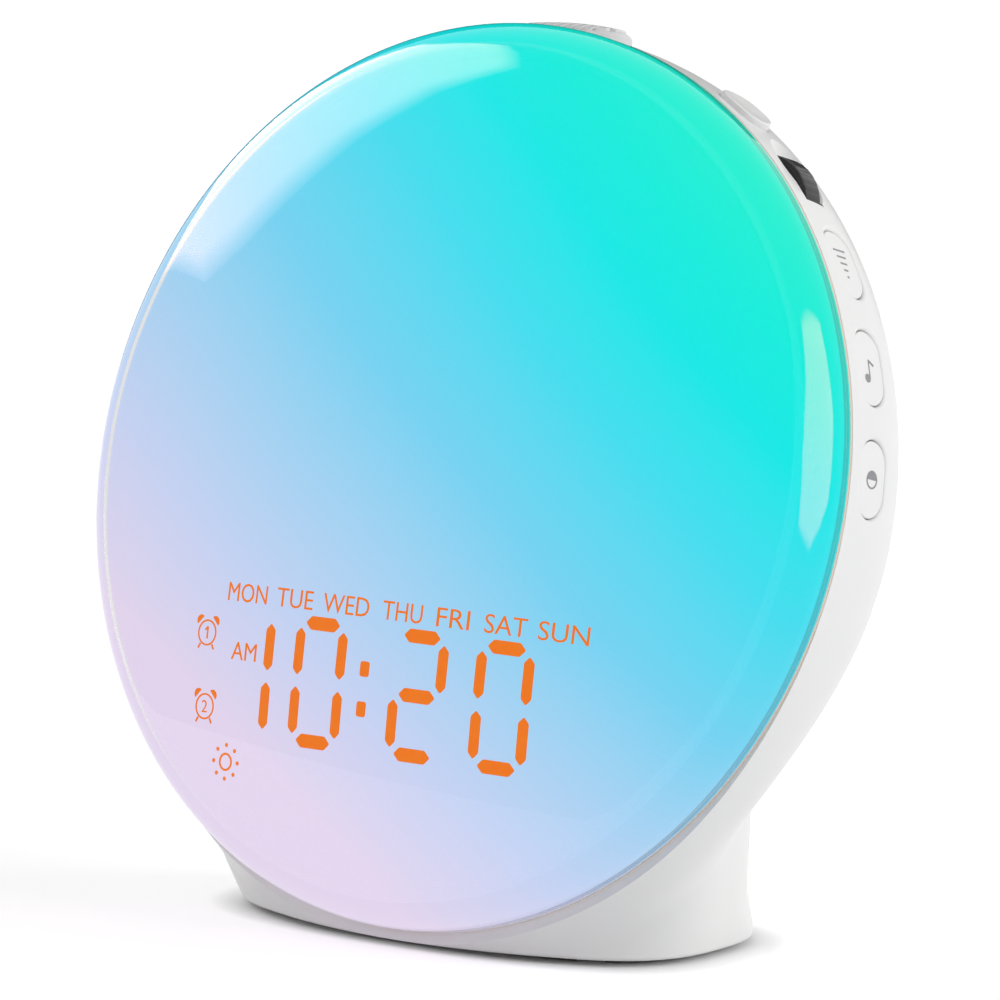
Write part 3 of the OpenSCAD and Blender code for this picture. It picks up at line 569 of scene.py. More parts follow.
def glowing(name, colour, roughness, strength):
    """A plastic lit from within by the coloured LEDs: the light changes colour across the face.

    Clouds of light shift the colours by up to 6 mm, and low on the face the pink reaches
    14 mm further. Little of the light falls on the pieces around it. On the seal and the
    frame disc the glow is painted light, which the LEDs cast on them.
    """
    cloud_mm = 111
    cloud_shift = 0.006
    pink_shift = 0.014
    pink_fade = 0.06
    pink_top = face_centre.dot(up) - 0.03
    spill_share = 0.25
    material, shader = new_material(
        name, Base_Color=linear(colour), Roughness=roughness, Specular_IOR_Level=0.0
    )
    place = add(material, "TexCoord").outputs["Object"]
    run = add(material, "VectorMath", {"operation": "DOT_PRODUCT", "i1": glow_way}, i0=place)
    cloud = add(material, "TexNoise", {"Scale": 1000 / cloud_mm, "Detail": 1.0}, Vector=place)
    span = {"To Min": -cloud_shift, "To Max": cloud_shift}
    shift = add(material, "MapRange", span, Value=cloud.outputs["Fac"])
    height = add(material, "VectorMath", {"operation": "DOT_PRODUCT", "i1": up}, i0=place)
    span = {"From Min": pink_top - pink_fade, "From Max": pink_top}
    span |= {"To Min": -pink_shift, "To Max": 0}
    pink = add(material, "MapRange", span, Value=height.outputs["Value"])
    moved = run.outputs["Value"]
    for change in (shift, pink):
        total = add(material, "Math", {"operation": "ADD"}, i0=moved, i1=change.outputs["Result"])
        moved = total.outputs["Value"]
    middle = face_centre.dot(glow_way)
    span = {"From Min": middle - glow_reach, "From Max": middle + glow_reach}
    part = add(material, "MapRange", span, Value=moved)
    ramp = add(material, "ValToRGB", Fac=part.outputs["Result"])
    while len(ramp.color_ramp.elements) < len(glow_colours):
        ramp.color_ramp.elements.new(0.5)
    for element, (position, hex_colour) in zip(ramp.color_ramp.elements, glow_colours):
        element.position = position
        element.color = linear(hex_colour)
    path = add(material, "LightPath")
    dimmed = {"To Min": strength, "To Max": strength * spill_share}
    spill = add(material, "MapRange", dimmed, Value=path.outputs["Is Diffuse Ray"])
    feed(
        material,
        shader,
        Emission_Color=ramp.outputs["Color"],
        Emission_Strength=spill.outputs["Result"],
    )
    return material


# Milky PMMA, as cast: an even light, without a sheen of its own. Where it is cemented to
# the cover no air gap dims it, so that it needs less light to look alike, and close to the
# seal the LEDs reach it less.
milky_kinds = [
    glowing(name, "#0c0c0d", 0.5, strength)
    for name, strength in (
        ("milky_acrylic", 1.27),
        ("milky_acrylic_cemented_to_the_cover", 1.11),
        ("milky_acrylic_near_the_seal", 0.75),
    )
]
# Beyond this radius the dome touches the cover, and below this height it stands by the seal.
cemented_r = 84.5
seal_rise = 0.9

# The rim is cemented to the cover's side and shoulder, and thins out to the dome from the
# 18th of the shoulder's steps on.
diffuser_wall = 1.6
diffuser_foot = -0.8
diffuser_inset = 4.6
rim_inset = cover_wall - 0.01
rim_foot = 0.1
thinning_start = 18
thinning_steps = 7
rim_r = face_r - rim_inset
edge = face_r - diffuser_inset
milky_front = []
for k, (inside, outside) in enumerate(zip(cover_arcs(diffuser_inset), cover_arcs(rim_inset))):
    share = min(max(k - thinning_start, 0) / thinning_steps, 1)
    share = share * share * (3 - 2 * share)
    milky_front.append([i * share + o * (1 - share) for i, o in zip(inside, outside)])
diffuser_profile = [(edge, diffuser_foot), (edge, rim_foot), (rim_r, rim_foot), (rim_r, seal_rise)]
diffuser_profile += milky_front + cover_arcs(diffuser_inset + diffuser_wall)[::-1]
diffuser_profile += [(edge - diffuser_wall, diffuser_foot)]
points, faces = revolved(diffuser_profile)
diffuser = add_piece(
    "diffuser_dome", from_face(points), faces, milky_kinds[0], replaces=["diffuser"]
)
for kind in milky_kinds[1:]:
    diffuser.data.materials.append(kind)
for face in diffuser.data.polygons:
    away = face.center - face_centre
    rise = away.dot(forward)
    if rise * 1000 < seal_rise:
        face.material_index = 2
    elif (away - forward * rise).length * 1000 > cemented_r:
        face.material_index = 1

# ---- Cover seal ----
# A ring of beige PE foam, die-cut and glued between the cover and the housing. Its outer
# edge shows as a thin line, and the LEDs' light on the rest of it, through the diffuser's
# rim, is painted on as a glow.

# Closed-cell foam: matt, with fine pores. Where the LEDs reach it, their light is painted
# on as a glow in their colours.
foam = grained("beige_seal_foam", "#e6d8cc", "#decdbe", 0.85, 0.25, bump_mm=0.04)
glow_painted_foam = glowing("seal_foam_with_painted_led_glow", "#c8c8c8", 0.8, 0.85)

seal_in_r = face_r - 3
lit_r = face_r - 0.6
seal_out_r = face_r - 0.15
profile = [(seal_in_r, 0), (lit_r, 0), (seal_out_r, 0), (seal_out_r, -seal_t), (seal_in_r, -seal_t)]
points, faces = revolved(profile)
seal = add_piece("seal_ring", from_face(points), faces, foam, replaces=["cover_seal"])
seal.data.materials.append(glow_painted_foam)
for face in seal.data.polygons:
    away = face.center - face_centre
    radius = (away - forward * away.dot(forward)).length * 1000
    if radius < lit_r - 0.1 and face.normal.dot(forward) > 0.5:
        face.material_index = 1

# ---- Light frame ----
# A moulded disc of white ABS that carries the diffuser and, on four posts with screw holes,
# the display board. The LEDs' light on it, which it sends forward, is painted on as a glow.

# White ABS under the LEDs: their light on it is painted on as a glow in their colours.
glow_painted_abs = glowing("white_abs_with_painted_led_glow", "#e8e8e8", 0.4, 0.85)

frame_r = 85.7
frame_front = -0.8
frame_back = -2.2
post_ring = 55
post_r = 3.5
post_hole_r = 1.25
post_end = -12.6
profile = [(0, frame_front), (frame_r, frame_front), (frame_r, frame_back), (0, frame_back)]
points, faces = revolved(profile)
for angle in (35, 145, 215, 325):
    profile = [(post_hole_r, -2), (post_r, -2), (post_r, post_end), (post_hole_r, post_end)]
    post_points, post_faces = revolved(profile, 48, polar(post_ring, angle))
    faces += [[k + len(points) for k in f] for f in post_faces]
    points = np.concatenate([points, post_points])
light_ring = add_piece("frame_disc", from_face(points), faces, glow_painted_abs, replaces=["light_frame"])

# ---- Display ----
# Light pipes and a cut mask over orange LEDs, whose bars, letters and signs shine through
# the diffuser. They are made as thin lit plates on its front.

# The light of orange LEDs, spread by the milky plastic: a flat, even orange.
spread_mm = 3.33
orange_light, orange_shader = new_material(
    "orange_led_light",
    Base_Color=linear("#140802"),
    Roughness=0.5,
    Specular_IOR_Level=0.0,
    Emission_Strength=1.08,
)
place = add(orange_light, "TexCoord").outputs["Object"]
spread = add(orange_light, "TexNoise", {"Scale": 1000 / spread_mm, "Detail": 1.0}, Vector=place)
warm = add(orange_light, "ValToRGB", Fac=spread.outputs["Fac"])
for element, shown in zip(warm.color_ramp.elements, ("#ff7a16", "#ff861f")):
    element.color = linear(shown)
feed(orange_light, orange_shader, Emission_Color=warm.outputs["Color"])

plate_t = 0.12
plate_sink = 0.03


def on_diffuser(points):
    """Flat places and a share of the plates' thickness, laid on the diffuser's dome."""
    x, y, share = points.T
    dome = dome_middle + np.sqrt((dome_r - diffuser_inset) ** 2 - x**2 - y**2)
    return from_face(np.stack([x, y, dome - plate_sink + share * plate_t], -1))


def plates(name, outlines, material, body, height):
    """Thin solid plates from outlines, laid on the surface that height() gives in metres."""
    points, faces = [], []
    for outline in outlines:
        start = len(points)
        points += [(x, y, level) for level in (0, 1) for x, y in outline]
        faces += [[start + k for k in f] for f in capped_tube(2, len(outline))]
    return add_piece(name, height(np.array(points, float)), faces, material, body=body)


def rounded(corners, r, steps=3):
    """The outline with its corners rounded off."""
    outline = []
    for k, corner in enumerate(corners):
        here = Vector(corner)
        others = Vector(corners[k - 1]), Vector(corners[(k + 1) % len(corners)])
        start, end = [here + (other - here).normalized() * r for other in others]
        for t in np.linspace(0, 1, steps + 1).tolist():
            outline.append(tuple(start * (1 - t) ** 2 + here * 2 * t * (1 - t) + end * t**2))
    return outline


# The bars of a digit: where each lies, in half widths and quarter heights, and whether it stands.
digit_w = 11
digit_h = 23
digit_row = -44.8
bar_t = 2.4
bar_gap = 1.1
bar_places = {
    "a": (0, 2, False),
    "b": (1, 1, True),
    "c": (1, -1, True),
    "d": (0, -2, False),
    "e": (-1, -1, True),
    "f": (-1, 1, True),
    "g": (0, 0, False),
}
lit_bars = {"0": "abcdef", "1": "bc", "2": "abged"}


def bar_outline(x, y, length, thick, stands):
    """A bar of a digit: a hexagon with its ends pointed."""
    half, side = length / 2, thick / 2
    upper = [(-half, 0), (-half + side, side), (half - side, side)]
    corners = upper + [(-a, -b) for a, b in upper]
    outline = rounded(corners, 0.35)
    return [(x + (b if stands else a), y + (a if stands else b)) for a, b in outline]


def digit_outlines(figure, x):
    """The lit bars of one figure, whose middle is at x."""
    outlines = []
    for bar in lit_bars[figure]:
        side, level, stands = bar_places[bar]
        length = (digit_h / 2 if stands else digit_w) - 2 * bar_gap
        thick = bar_t if stands else bar_t + 0.3
        place = (x + side * digit_w / 2, digit_row + level * digit_h / 4)
        outlines.append(bar_outline(*place, length, thick, stands))
    return outlines


bars = []
for figure, x in (("1", -37.6), ("0", -18.6), ("2", 6.4), ("0", 26.4)):
    bars += digit_outlines(figure, x)
colon_x = -6.9
dot_half_w = 1.15
dot_half_h = 1.5
for level in (-1, 1):
    y = digit_row + level * 3.9
    corners = [
        (colon_x + a * dot_half_w, y + b * dot_half_h)
        for a, b in ((-1, -1), (1, -1), (1, 1), (-1, 1))
    ]
    bars.append(rounded(corners, 0.6))
digits = plates("lit_digits", bars, orange_light, "base", on_diffuser)
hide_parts("digit_bars")


def lettering(name, words, material, body, height):
    """Thin solid letters. Each word is (text, left, right, foot, height of the capitals)."""
    points, faces = [], []
    for text, left, right, foot, capitals in words:
        font = bpy.data.curves.new("text", "FONT")
        font.body = text
        font.resolution_u = 3
        font.extrude = 0.5
        font.offset = -0.004
        letters = bpy.data.objects.new("text", font)
        bpy.context.scene.collection.objects.link(letters)
        graph = bpy.context.evaluated_depsgraph_get()
        mesh = bpy.data.meshes.new_from_object(letters.evaluated_get(graph))
        flat = np.array([v.co for v in mesh.vertices])
        low, high = flat.min(0), flat.max(0)
        scale = np.array([(right - left) / (high[0] - low[0]), capitals / (high[1] - low[1]), 1])
        shift = np.array([left, foot, 0]) - np.array([low[0], low[1], -0.5]) * scale
        start = len(points)
        points += list(flat * scale + shift)
        faces += [tuple(start + i for i in f.vertices) for f in mesh.polygons]
        bpy.data.objects.remove(letters)
        bpy.data.meshes.remove(mesh)
    return add_piece(name, height(np.array(points)), faces, material, body=body)


day_row = -30.9
day_h = 3.7
days = [("MON", -44.9, -34.2), ("TUE", -31.5, -21.9), ("WED", -19.2, -7.4), ("THU", -4, 5.8)]
days += [("FRI", 9.3, 17.1), ("SAT", 20.7, 30.5), ("SUN", 33.1, 44.5)]
words = [(*day, day_row, day_h) for day in days]
words += [("AM", -42.3, -35.5, -42.3, 3.5), ("2", -49.3, -47.8, -53.4, 2.4)]
weekdays = lettering("lit_letters", words, orange_light, "base", on_diffuser)


def ring_outlines(x, y, r, thick, count=32):
    """A ring as quads, which share their edges."""
    turns = np.linspace(0, 2 * math.pi, count + 1)
    rims = [[(x + q * math.cos(t), y + q * math.sin(t)) for t in turns] for q in (r, r - thick)]
    return [(rims[0][i], rims[0][i + 1], rims[1][i + 1], rims[1][i]) for i in range(count)]


def dot_outline(x, y, r):
    """A round dot."""
    return arc((x, y), r, 0, 330, 11)


def stroke(start, end, thick):
    """A straight line of a given thickness."""
    a, b = Vector(start), Vector(end)
    side = (b - a).orthogonal().normalized() * thick / 2
    return [tuple(p) for p in (a + side, b + side, b - side, a - side)]


# Two small alarm clocks, numbered 1 and 2, and a small sun. The 1 is made of two strokes.
clock_r = 2.6
clock_places = [(-49.7, -37.7), (-48.5, -52.2)]
signs = []
for x, y in clock_places:
    signs += ring_outlines(x, y, clock_r, 0.35)
    for side in (-1, 1):
        signs.append(stroke((x + side * 1.6, y - 2.2), (x + side * 2.2, y - 3.2), 0.4))
        first = 45 - 45 * side
        signs.append(arc((x + side * 2, y + 2.3), 1.15, first - 40, first + 130, 8))
signs.append(stroke((-49.6, -38.9), (-49.6, -36.5), 0.4))
signs.append(stroke((-49.6, -36.5), (-50.3, -37.2), 0.35))
sun_x, sun_y = -41.5, -62.5
signs += ring_outlines(sun_x, sun_y, 1.8, 0.45)
for angle in range(0, 360, 45):
    x, y = polar(3.3, angle)
    signs.append(dot_outline(sun_x + x, sun_y + y, 0.42))
lit_signs = plates("lit_signs", signs, orange_light, "base", on_diffuser)

# ---- Keys ----
# Six flush keys of the same white ABS, each moulded with a soft edge, sit a little below
# the housing's skin and slide inwards. The lamp key stands proud and has a dished top.

# A little glossier to the touch than the housing. The signs are pad-printed: matt and flat.
key_abs = grained("white_key_abs", "#eeeeed", "#ececec", 0.34, 0.5)
print_grey = grained("grey_pad_printing", "#9a9a9c", "#8f8f92", 0.5, 0.3, bump_mm=0.002)

key_top = face_r - 0.7
key_root = face_r - 6
key_edge_r = 0.3


def button(size, depth, angle, top, rows=121, columns=41):
    """A capsule-shaped key as a height field on the rim: lines from front to back, closed below.

    top gives the radius over a place: how far it is up the rim and backwards from the key's
    middle, and how far inside the key's edge.
    """
    length, width = size
    flat = (length - width) / 2
    runs = np.sin(np.linspace(-math.pi / 2, math.pi / 2, rows)) * (length / 2 - 1e-3)
    over = np.maximum(0, np.abs(runs) - flat)
    half = np.sqrt(np.maximum((width / 2) ** 2 - over**2, 1e-6))
    a = np.repeat(runs[:, None], columns, 1)
    b = half[:, None] * np.sin(np.linspace(-math.pi / 2, math.pi / 2, columns))[None, :]
    edge = width / 2 - np.hypot(np.maximum(0, np.abs(a) - flat), b)
    turn = math.radians(angle) + a / face_r
    layers = [
        np.stack([r * np.cos(turn), r * np.sin(turn), -depth - b], -1).reshape(-1, 3)
        for r in (top(a, b, edge), key_root)
    ]
    faces = []
    for i in range(rows - 1):
        for j in range(columns - 1):
            k = i * columns + j
            faces.append((k, k + 1, k + columns + 1, k + columns))
    border = list(range(columns)) + [i * columns + columns - 1 for i in range(1, rows)]
    border += [(rows - 1) * columns + j for j in range(columns - 2, -1, -1)]
    border += [i * columns for i in range(rows - 2, 0, -1)]
    below = rows * columns
    for k, here in enumerate(border):
        after = border[(k + 1) % len(border)]
        faces.append((here, after, after + below, here + below))
    faces.append([k + below for k in border[::-1]])
    used = sorted({k for f in faces for k in f})
    index = {k: n for n, k in enumerate(used)}
    return from_face(np.concatenate(layers)[used]), [[index[k] for k in f] for f in faces]


def rounding(edge, r):
    """How far a rounded edge lies below the flat top."""
    return r - np.sqrt(np.maximum(r**2 - np.clip(r - edge, 0, r) ** 2, 0))


def flush_key_top(a, b, edge):
    """Flat, with a soft edge."""
    return key_top - rounding(edge, key_edge_r)


for node in flush_keys:
    form = button(key_size, key_depth, key_angle(node), flush_key_top)
    cap = add_piece(node + "_cap", *form, key_abs, body=node, replaces=[node], smooth_angle=50)


def lamp_key_top(a, b, edge, rise=1.1, dish=0.5, dish_r=4.3):
    """Raised, with a dished top."""
    return face_r + rise - rounding(edge, 0.5) - dish * np.clip(edge / dish_r, 0, 1) ** 0.7


form = button(lamp_key_size, key_depth, key_angle("lamp_key"), lamp_key_top)
cap = add_piece(
    "lamp_key_cap", *form, key_abs, body="lamp_key", replaces=["lamp_key"], smooth_angle=50
)

print_sink = 0.04
print_t = 0.1


def on_key(node):
    """Lays flat places (up the rim, backwards, share of the print's thickness) on a key."""

    def height(points):
        turn = math.radians(key_angle(node)) + points[:, 0] / face_r
        out = key_top - print_sink + print_t * points[:, 2]
        places = [out * np.cos(turn), out * np.sin(turn), -key_depth - points[:, 1]]
        return from_face(np.stack(places, -1))

    return height


# The signs read downwards: bars of sound, a note, a half disc, two clock faces, three dots.
clock_face = ring_outlines(0, 0, 1.7, 0.35) + [stroke((0, 0), (1.1, 0), 0.35)]
marks = {
    "radio_key": [
        stroke((1.5 * k, -1.1 - 0.4 * k), (1.5 * k, 1.1 + 0.4 * k), 0.4) for k in range(-2, 3)
    ],
    "sound_key": [
        dot_outline(-2.2, -0.9, 0.9),
        stroke((-2.2, -0.1), (1.6, -0.1), 0.35),
        stroke((1.5, -0.1), (0.6, 1.5), 0.5),
    ],
    "dimmer_key": ring_outlines(0, 0, 1.8, 0.35) + [arc((0, 0), 1.5, -90, 90, 12)],
    "alarm_one_key": clock_face,
    "alarm_two_key": clock_face + [stroke((0, 0), (0, 0.9), 0.35)],
    "colour_key": [dot_outline(2.2 * k, 0, 0.7) for k in (-1, 0, 1)],
}
for node, outlines in marks.items():
    mark = plates(node + "_print", outlines, print_grey, node, on_key(node))

# ---- Snooze pad ----
# A long pad over the crown of the rim, domed from front to back, with moulded ribs that
# the finger finds in the dark. Its ABS is drawn light grey: painted shade of the weaker
# light that falls on the top.

# ABS with a coarser sheen than the keys, drawn darker than the housing: painted shade on the top.
shade_painted_snooze_abs = grained("snooze_abs_grey_as_painted_shade", "#dedede", "#d8d8d9", 0.4, 0.5)

snooze_rise = 2.8
crown_r = 14
rib_pitch = 2.2
rib_cut = 0.8
rib_depth = 0.6
rib_slope = 0.12
rib_run = 11
rib_margin = 1.2
long_groove_b = 2.2
long_groove_half = 0.35
snooze_edge_r = 0.7


def snooze_top(a, b, edge):
    """Domed from front to back, with grooves between the ribs, two of which run along the pad."""
    top = face_r + snooze_rise - crown_r + np.sqrt(crown_r**2 - b**2)
    middle = np.abs(a / rib_pitch - np.round(a / rib_pitch)) * rib_pitch
    groove = np.clip((middle - (rib_pitch - rib_cut) / 2) / rib_slope, 0, 1)
    along = np.clip((long_groove_half - np.abs(np.abs(b) - long_groove_b)) / rib_slope, 0, 1)
    ribbed = np.clip((edge - rib_margin) / 0.15, 0, 1) * (np.abs(a) < rib_run)
    cut_depth = rib_depth * (1 - ribbed * (1 - np.maximum(groove, along)))
    return top - cut_depth - rounding(edge, snooze_edge_r)


form = button(snooze_size, snooze_depth, key_angle("snooze_pad"), snooze_top, 421, 81)
pad = add_piece(
    "snooze_ribs", *form, shade_painted_snooze_abs, body="snooze_pad", replaces=["snooze_pad"], smooth_angle=45
)

# ---- Volume wheel ----
# A black ABS wheel whose rim has grip grooves. It turns about an axle parallel to the
# face's normal and shows through the scoop.

# ABS from a polished mould: black and fairly glossy.
black_abs = grained("black_wheel_abs", "#232224", "#1b1a1c", 0.28, 0.4, bump_mm=0.004)


def grooved_wheel(grooves=36, groove_r=0.5, groove_share=0.12, edge_r=0.45, run_out=1.2):
    """The wheel as rings from its front to its back. The grooves run out on the sides."""
    turns = np.linspace(0, 2 * math.pi, grooves * 20, endpoint=False)
    wave = (turns * grooves / (2 * math.pi) + 0.5) % 1 - 0.5
    gap = wave * 2 * math.pi * wheel_r / grooves
    hollow_depth = np.sqrt(np.maximum(groove_r**2 - gap**2, 0)) - 0.15
    bite = groove_share * np.maximum(0, hollow_depth)
    bends = np.radians(np.linspace(90, 0, 7))
    front = [
        (-edge_r * (1 - math.cos(a)), -wheel_front - edge_r * (1 - math.sin(a))) for a in bends
    ]
    back = [(grow, -wheel_front - wheel_back - level) for grow, level in front[::-1]]
    middle = -wheel_r + axis_r
    rows = []
    for grow, level in [(middle, -wheel_front), *front, *back, (middle, -wheel_back)]:
        r = wheel_r + grow - bite * max(0, 1 + grow / run_out)
        places = [r * np.cos(turns), r * np.sin(turns), np.full(len(turns), level)]
        rows.append(np.stack(places, -1))
    points = np.concatenate(rows)
    points[:, :2] += wheel_middle
    return from_face(points), tube_faces(len(rows), len(turns))


wheel = add_piece(
    "grooved_wheel",
    *grooved_wheel(),
    black_abs,
    body="volume_wheel",
    replaces=["volume_wheel"],
    smooth_angle=40,
)

# ---- Speaker grille ----
# A disc of the housing's white ABS pressed into the back of the bowl, with three rings of
# sound holes round the middle one. Its edge and the mouths of the holes are rounded.

hole_r = 1.1
hole_pitch = 5
hole_mouth = 0.25
grille_edge_r = 0.5
edge_middle = (grille_r - grille_edge_r, -grille_face + grille_edge_r)
disc_profile = [(0, -grille_floor), (grille_r, -grille_floor), (grille_r, edge_middle[1])]
disc_profile += arc(edge_middle, grille_edge_r, -30, -90, 2) + [(0, -grille_face)]
points, faces = revolved(disc_profile, 160, (0, speaker_up))
grille = add_piece("grille_disc", from_face(points), faces, None, body=None)

hole_inner = -40
hole_outer = -45
mouth = hole_r + hole_mouth
hole_profile = [(0, hole_inner), (hole_r, hole_inner), (hole_r, -grille_face + hole_mouth)]
hole_profile += [(mouth, -grille_face), (mouth + 0.1, -grille_face - 0.1)]
hole_profile += [(mouth + 0.1, hole_outer), (0, hole_outer)]
hole_places = [(0, 0)]
for ring in (1, 2, 3):
    hole_places += [polar(hole_pitch * ring, 60 * k / ring) for k in range(6 * ring)]
all_points, all_faces = [], []
for x, y in hole_places:
    points, faces = revolved(hole_profile, 32, (x, y + speaker_up))
    all_faces += [[k + len(all_points) for k in f] for f in faces]
    all_points += list(points)
cut(grille, white_abs, [add_cutter(from_face(all_points), all_faces)])
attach(grille, "base")
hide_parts("speaker_grille")

# ---- Pieces that keep their CAD form ----
# The underside and what the housing holds: screws, boards, loudspeaker, socket, base plate,
# battery door and coin cell. Their solids are true to the real ones, and only take a material.

# Zinc-plated steel: bright, a little cool. Natural rubber: black and matt, with a fine tooth.
steel = grained("zinc_plated_steel", "#c9ccd0", "#b9bcc2", 0.3, 0.2, Metallic=1.0)
rubber = grained("black_foot_rubber", "#2b2b2d", "#222224", 0.75, 0.3, bump_mm=0.03)
# ABS from a textured mould, which hides scratches under the foot, and black ABS of the socket.
base_abs = grained("textured_white_abs", "#e6e5e4", "#e2e1e0", 0.5, 0.8, bump_mm=0.03)
socket_abs = grained("black_socket_abs", "#1f1f21", "#19191b", 0.4, 0.4)
# Glass-epoxy boards under green and white solder resist: satin, with the weave just felt.
green_board = grained("green_circuit_board", "#1f6b3f", "#195a35", 0.4, 0.5)
white_board = grained("white_circuit_board", "#f0f0ea", "#e8e8e2", 0.4, 0.5)
# Moulded chip epoxy, matt black, and the yellowish resin over an LED's die.
epoxy = grained("black_chip_epoxy", "#2a2a2c", "#222224", 0.5, 0.3)
led_body = grained("led_resin", "#ffe9b0", "#f5dc9c", 0.3, 0.3)
# Pressed paper pulp, dull and fibrous, and bare brass, warm and bright.
paper_cone = grained("speaker_paper", "#3b3b3d", "#333335", 0.8, 0.3, bump_mm=0.03)
brass = grained("contact_brass", "#c9a25a", "#b8924c", 0.3, 0.2, Metallic=1.0)
screws = ["frame_screws", "board_screws", "speaker_screws", "base_screws"]
plain = {
    steel: screws + ["speaker_magnet", "socket_pin", "coin_cell"],
    rubber: ["foot_pad"],
    base_abs: ["base_plate", "battery_door"],
    socket_abs: ["power_socket", "speaker_frame", "key_switches"],
    green_board: ["main_board", "display_board"],
    white_board: ["light_board"],
    epoxy: ["main_chips", "display_block", "volume_pot"],
    led_body: ["light_leds"],
    paper_cone: ["speaker_cone"],
    brass: ["cell_contact"],
}
for material, nodes in plain.items():
    for node in nodes:
        mesh = frame["nodes"][node].data
        mesh.materials.clear()
        mesh.materials.append(material)

# ---- Room and floor ----
# A white room and a sheet of white paper. What is seen directly, or in and through the clear
# cover, is white, and the object gets half of that light. The paper keeps its shadow.


def seen(material):
    """1 for a ray from the camera, from a gloss or through the cover, and 0 for any other."""
    path = add(material, "LightPath").outputs
    direct = path["Is Camera Ray"]
    for ray in ("Is Glossy Ray", "Is Transmission Ray"):
        either = add(material, "Math", {"operation": "MAXIMUM"}, i0=direct, i1=path[ray])
        direct = either.outputs["Value"]
    return direct


world = bpy.data.worlds.new("studio")
bpy.context.scene.world = world
world.use_nodes = True
room = world.node_tree.nodes["Background"]
room.inputs["Color"].default_value = (1, 1, 1, 1)
room_light = add(world, "MapRange", {"To Min": 0.5, "To Max": 1.0}, Value=seen(world))
feed(world, room, Strength=room_light.outputs["Result"])

# Matt paper. Its lift to white fades out under the foot, whose outline is a superellipse,
# and in a band round it: painted shade round the foot, which keeps its dark contact line.
lift_start = 0.9
lift_end = 1.5
paper, paper_shader = new_material(
    "white_paper",
    Base_Color=linear("#f4f4f4"),
    Roughness=0.9,
    Specular_IOR_Level=0.0,
    Emission_Color=(1, 1, 1, 1),
)
sides = add(paper, "SeparateXYZ", Vector=add(paper, "TexCoord").outputs["Object"])
powers = []
for side, half in (("X", foot_half_w), ("Y", foot_half_d)):
    part = sides.outputs[side]
    for operation, value in (("DIVIDE", half / 1000), ("ABSOLUTE", 0), ("POWER", foot_power)):
        part = add(paper, "Math", {"operation": operation, "i1": value}, i0=part).outputs["Value"]
    powers.append(part)
away = add(paper, "Math", {"operation": "ADD"}, i0=powers[0], i1=powers[1]).outputs["Value"]
# Painted shade: the lift fades out in a band round the foot.
span = {"From Min": lift_start, "From Max": lift_end, "To Max": 0.4}
shown = add(paper, "MapRange", span, Value=away).outputs["Result"]
lift = add(paper, "Math", {"operation": "MULTIPLY"}, i0=seen(paper), i1=shown)
feed(paper, paper_shader, Emission_Strength=lift.outputs["Value"])

bpy.ops.mesh.primitive_plane_add(size=8, location=(0, 0, -0.0002))
floor = bpy.context.object
floor.name = "floor"
floor.data.materials.append(paper)

# ---- Lamps and windows ----
# Two wide soft lamps, left and right, and the two windows that the clear cover mirrors.


def direction(azimuth, elevation):
    """A way from the clock in degrees: azimuth 0 is the front, and grows to the right."""
    a, e = math.radians(azimuth), math.radians(elevation)
    return Vector((math.sin(a) * math.cos(e), -math.cos(a) * math.cos(e), math.sin(e)))


def far_lamp(name, azimuth, elevation, spread, strength):
    """A wide soft lamp far away, which lights every place alike."""
    light = bpy.data.lights.new(name, "SUN")
    light.angle = math.radians(spread)
    light.energy = strength
    piece = bpy.data.objects.new(name, light)
    way = direction(azimuth, elevation)
    piece.location = face_centre + way
    piece.rotation_euler = way.to_track_quat("Z", "Y").to_euler()
    piece.visible_glossy = False
    piece.visible_transmission = False
    bpy.context.scene.collection.objects.link(piece)


far_lamp("left_lamp", -75, 28, 50, 0.6)
far_lamp("right_lamp", 104, 17, 40, 1.5)

cover_only = bpy.data.collections.new("seen_in_the_clear_cover")
cover_only.objects.link(cover)
window_distance = 20


def hide_but_from_gloss(piece):
    """Leaves a piece to be seen by glossy surfaces only."""
    for ray in ("camera", "diffuse", "transmission", "shadow"):
        setattr(piece, "visible_" + ray, False)


def grown(corners, by):
    """The corners moved outwards from their middle by some degrees."""
    middle = sum((Vector(c) for c in corners), Vector((0, 0))) / len(corners)
    return [tuple(Vector(c) + (Vector(c) - middle).normalized() * by) for c in corners]


def lit_window(name, corners, light, shrunk, widened):
    """A lit panel that only the clear cover mirrors. Its light fades to the room's at its edge.

    Corners are directions from the face: azimuth, elevation. The light is linear RGB.
    """
    count = len(corners)
    ways = grown(corners, -shrunk) + grown(corners, widened)
    places = [tuple(face_centre + direction(*way) * window_distance) for way in ways]
    mesh = bpy.data.meshes.new(name)
    border = [(i, (i + 1) % count, count + (i + 1) % count, count + i) for i in range(count)]
    mesh.from_pydata(places, [], [tuple(range(count)), *border])
    level = mesh.color_attributes.new("level", "FLOAT_COLOR", "POINT")
    for k in range(2 * count):
        level.data[k].color = [*light, 1] if k < count else [1, 1, 1, 1]
    cloth = bpy.data.materials.new(name + "_cloth")
    cloth.use_nodes = True
    nodes = cloth.node_tree.nodes
    nodes.remove(nodes["Principled BSDF"])
    colour = add(cloth, "VertexColor", {"layer_name": "level"}).outputs["Color"]
    lit = add(cloth, "Emission", Color=colour)
    feed(cloth, nodes["Material Output"], Surface=lit.outputs["Emission"])
    mesh.materials.append(cloth)
    panel = bpy.data.objects.new(name, mesh)
    bpy.context.scene.collection.objects.link(panel)
    hide_but_from_gloss(panel)
    panel.light_linking.receiver_collection = cover_only


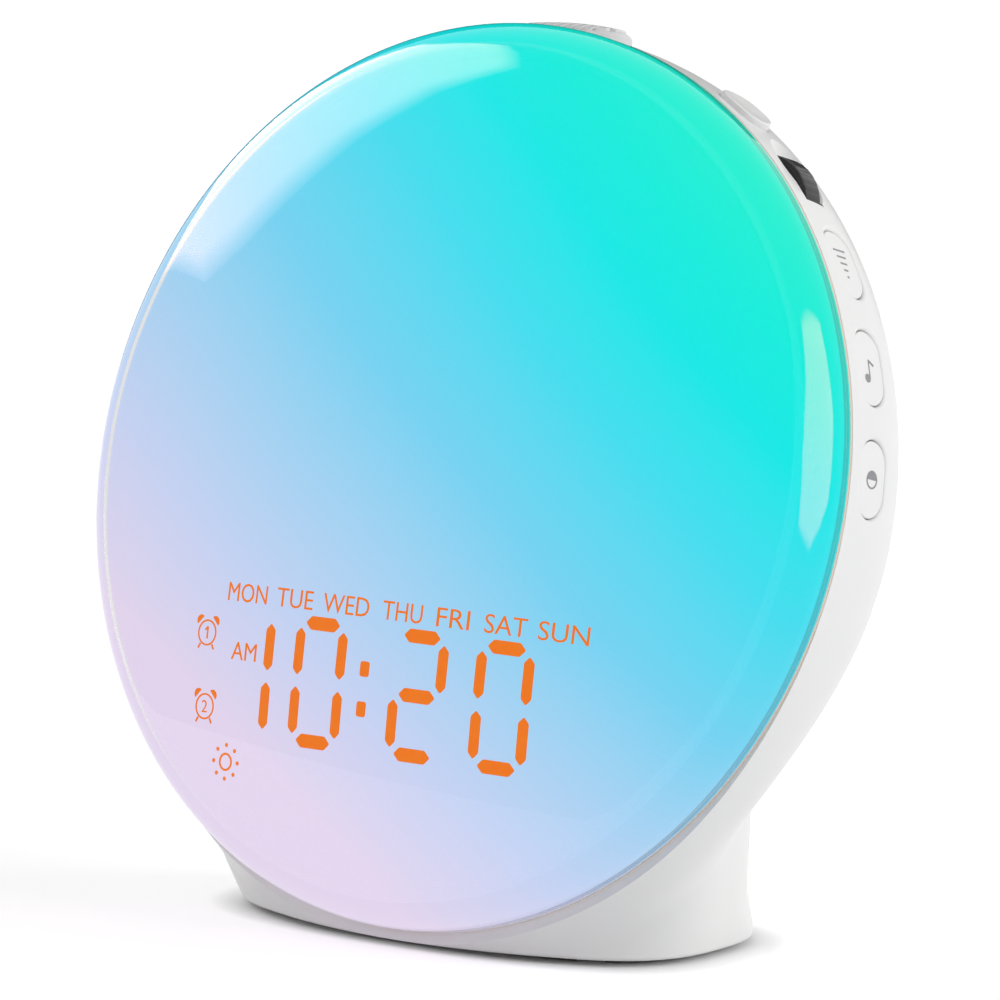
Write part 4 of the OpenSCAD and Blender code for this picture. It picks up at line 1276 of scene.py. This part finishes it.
strip = [(50, 46), (42, 38), (34, 32), (30, 25.5), (35, 19), (41, 13.5), (76, 1), (92, 1)]
strip += [(104, 3), (106, 10.6), (109.5, 18), (108, 29), (109, 38), (76, 47)]
lit_window("right_window", strip, (18, 5, 4), 1, 2)
crescent = [(-48.1, 36.1), (-53.3, 32.7), (-57.5, 28.5), (-60, 24.8), (-62, 21.4), (-64, 18.9)]
crescent += [(-79, 16.5), (-98, 17), (-116, 12), (-121, 13), (-118, 18), (-112, 26)]
crescent += [(-108, 32), (-102, 39), (-76, 45), (-60, 45)]
lit_window("left_window", crescent, (11, 6.4, 4.8), 0.8, 1.2)

# ---- Flags ----
# Sheets of black velvet that only glossy surfaces see. The one behind the clock draws the
# outline of the white shell, and the far one in front keeps the room's white off the face.

# Cotton velvet: a nap that takes almost all light.
nap_mm = 25
velvet, velvet_shader = new_material("black_velvet", Roughness=1.0, Specular_IOR_Level=0.0)
place = add(velvet, "TexCoord").outputs["Object"]
weave = add(velvet, "TexNoise", {"Scale": 1000 / nap_mm, "Detail": 1.0}, Vector=place)
nap = add(velvet, "MapRange", {"To Min": 0.02, "To Max": 0.04}, Value=weave.outputs["Fac"])
feed(velvet, velvet_shader, Base_Color=nap.outputs["Result"])
for name, azimuth, elevation, distance, size in (
    ("rear_flag", 218, 8, 3, (2.6, 3)),
    ("front_flag", -38, 20, 25, (40, 30)),
):
    bpy.ops.mesh.primitive_plane_add(size=1)
    flag = bpy.context.object
    flag.name = name
    way = direction(azimuth, elevation)
    flag.scale = (*size, 1)
    flag.location = face_centre + way * distance
    flag.rotation_euler = way.to_track_quat("Z", "Y").to_euler()
    flag.data.materials.append(velvet)
    hide_but_from_gloss(flag)

# ---- Camera ----
# It stands right of the front and a little above, 1.4 m away, with a long lens.

camera = bpy.data.objects.new("camera", bpy.data.cameras.new("camera"))
camera.data.lens = 262.8
camera.data.sensor_width = 36
camera.location = face_centre + Vector((0.87307, -1.11681, 0.20708))
camera.rotation_euler = (math.radians(81.5), 0, math.radians(37.766))
bpy.context.scene.collection.objects.link(camera)
bpy.context.scene.camera = camera
bpy.context.scene.view_settings.view_transform = "Standard"
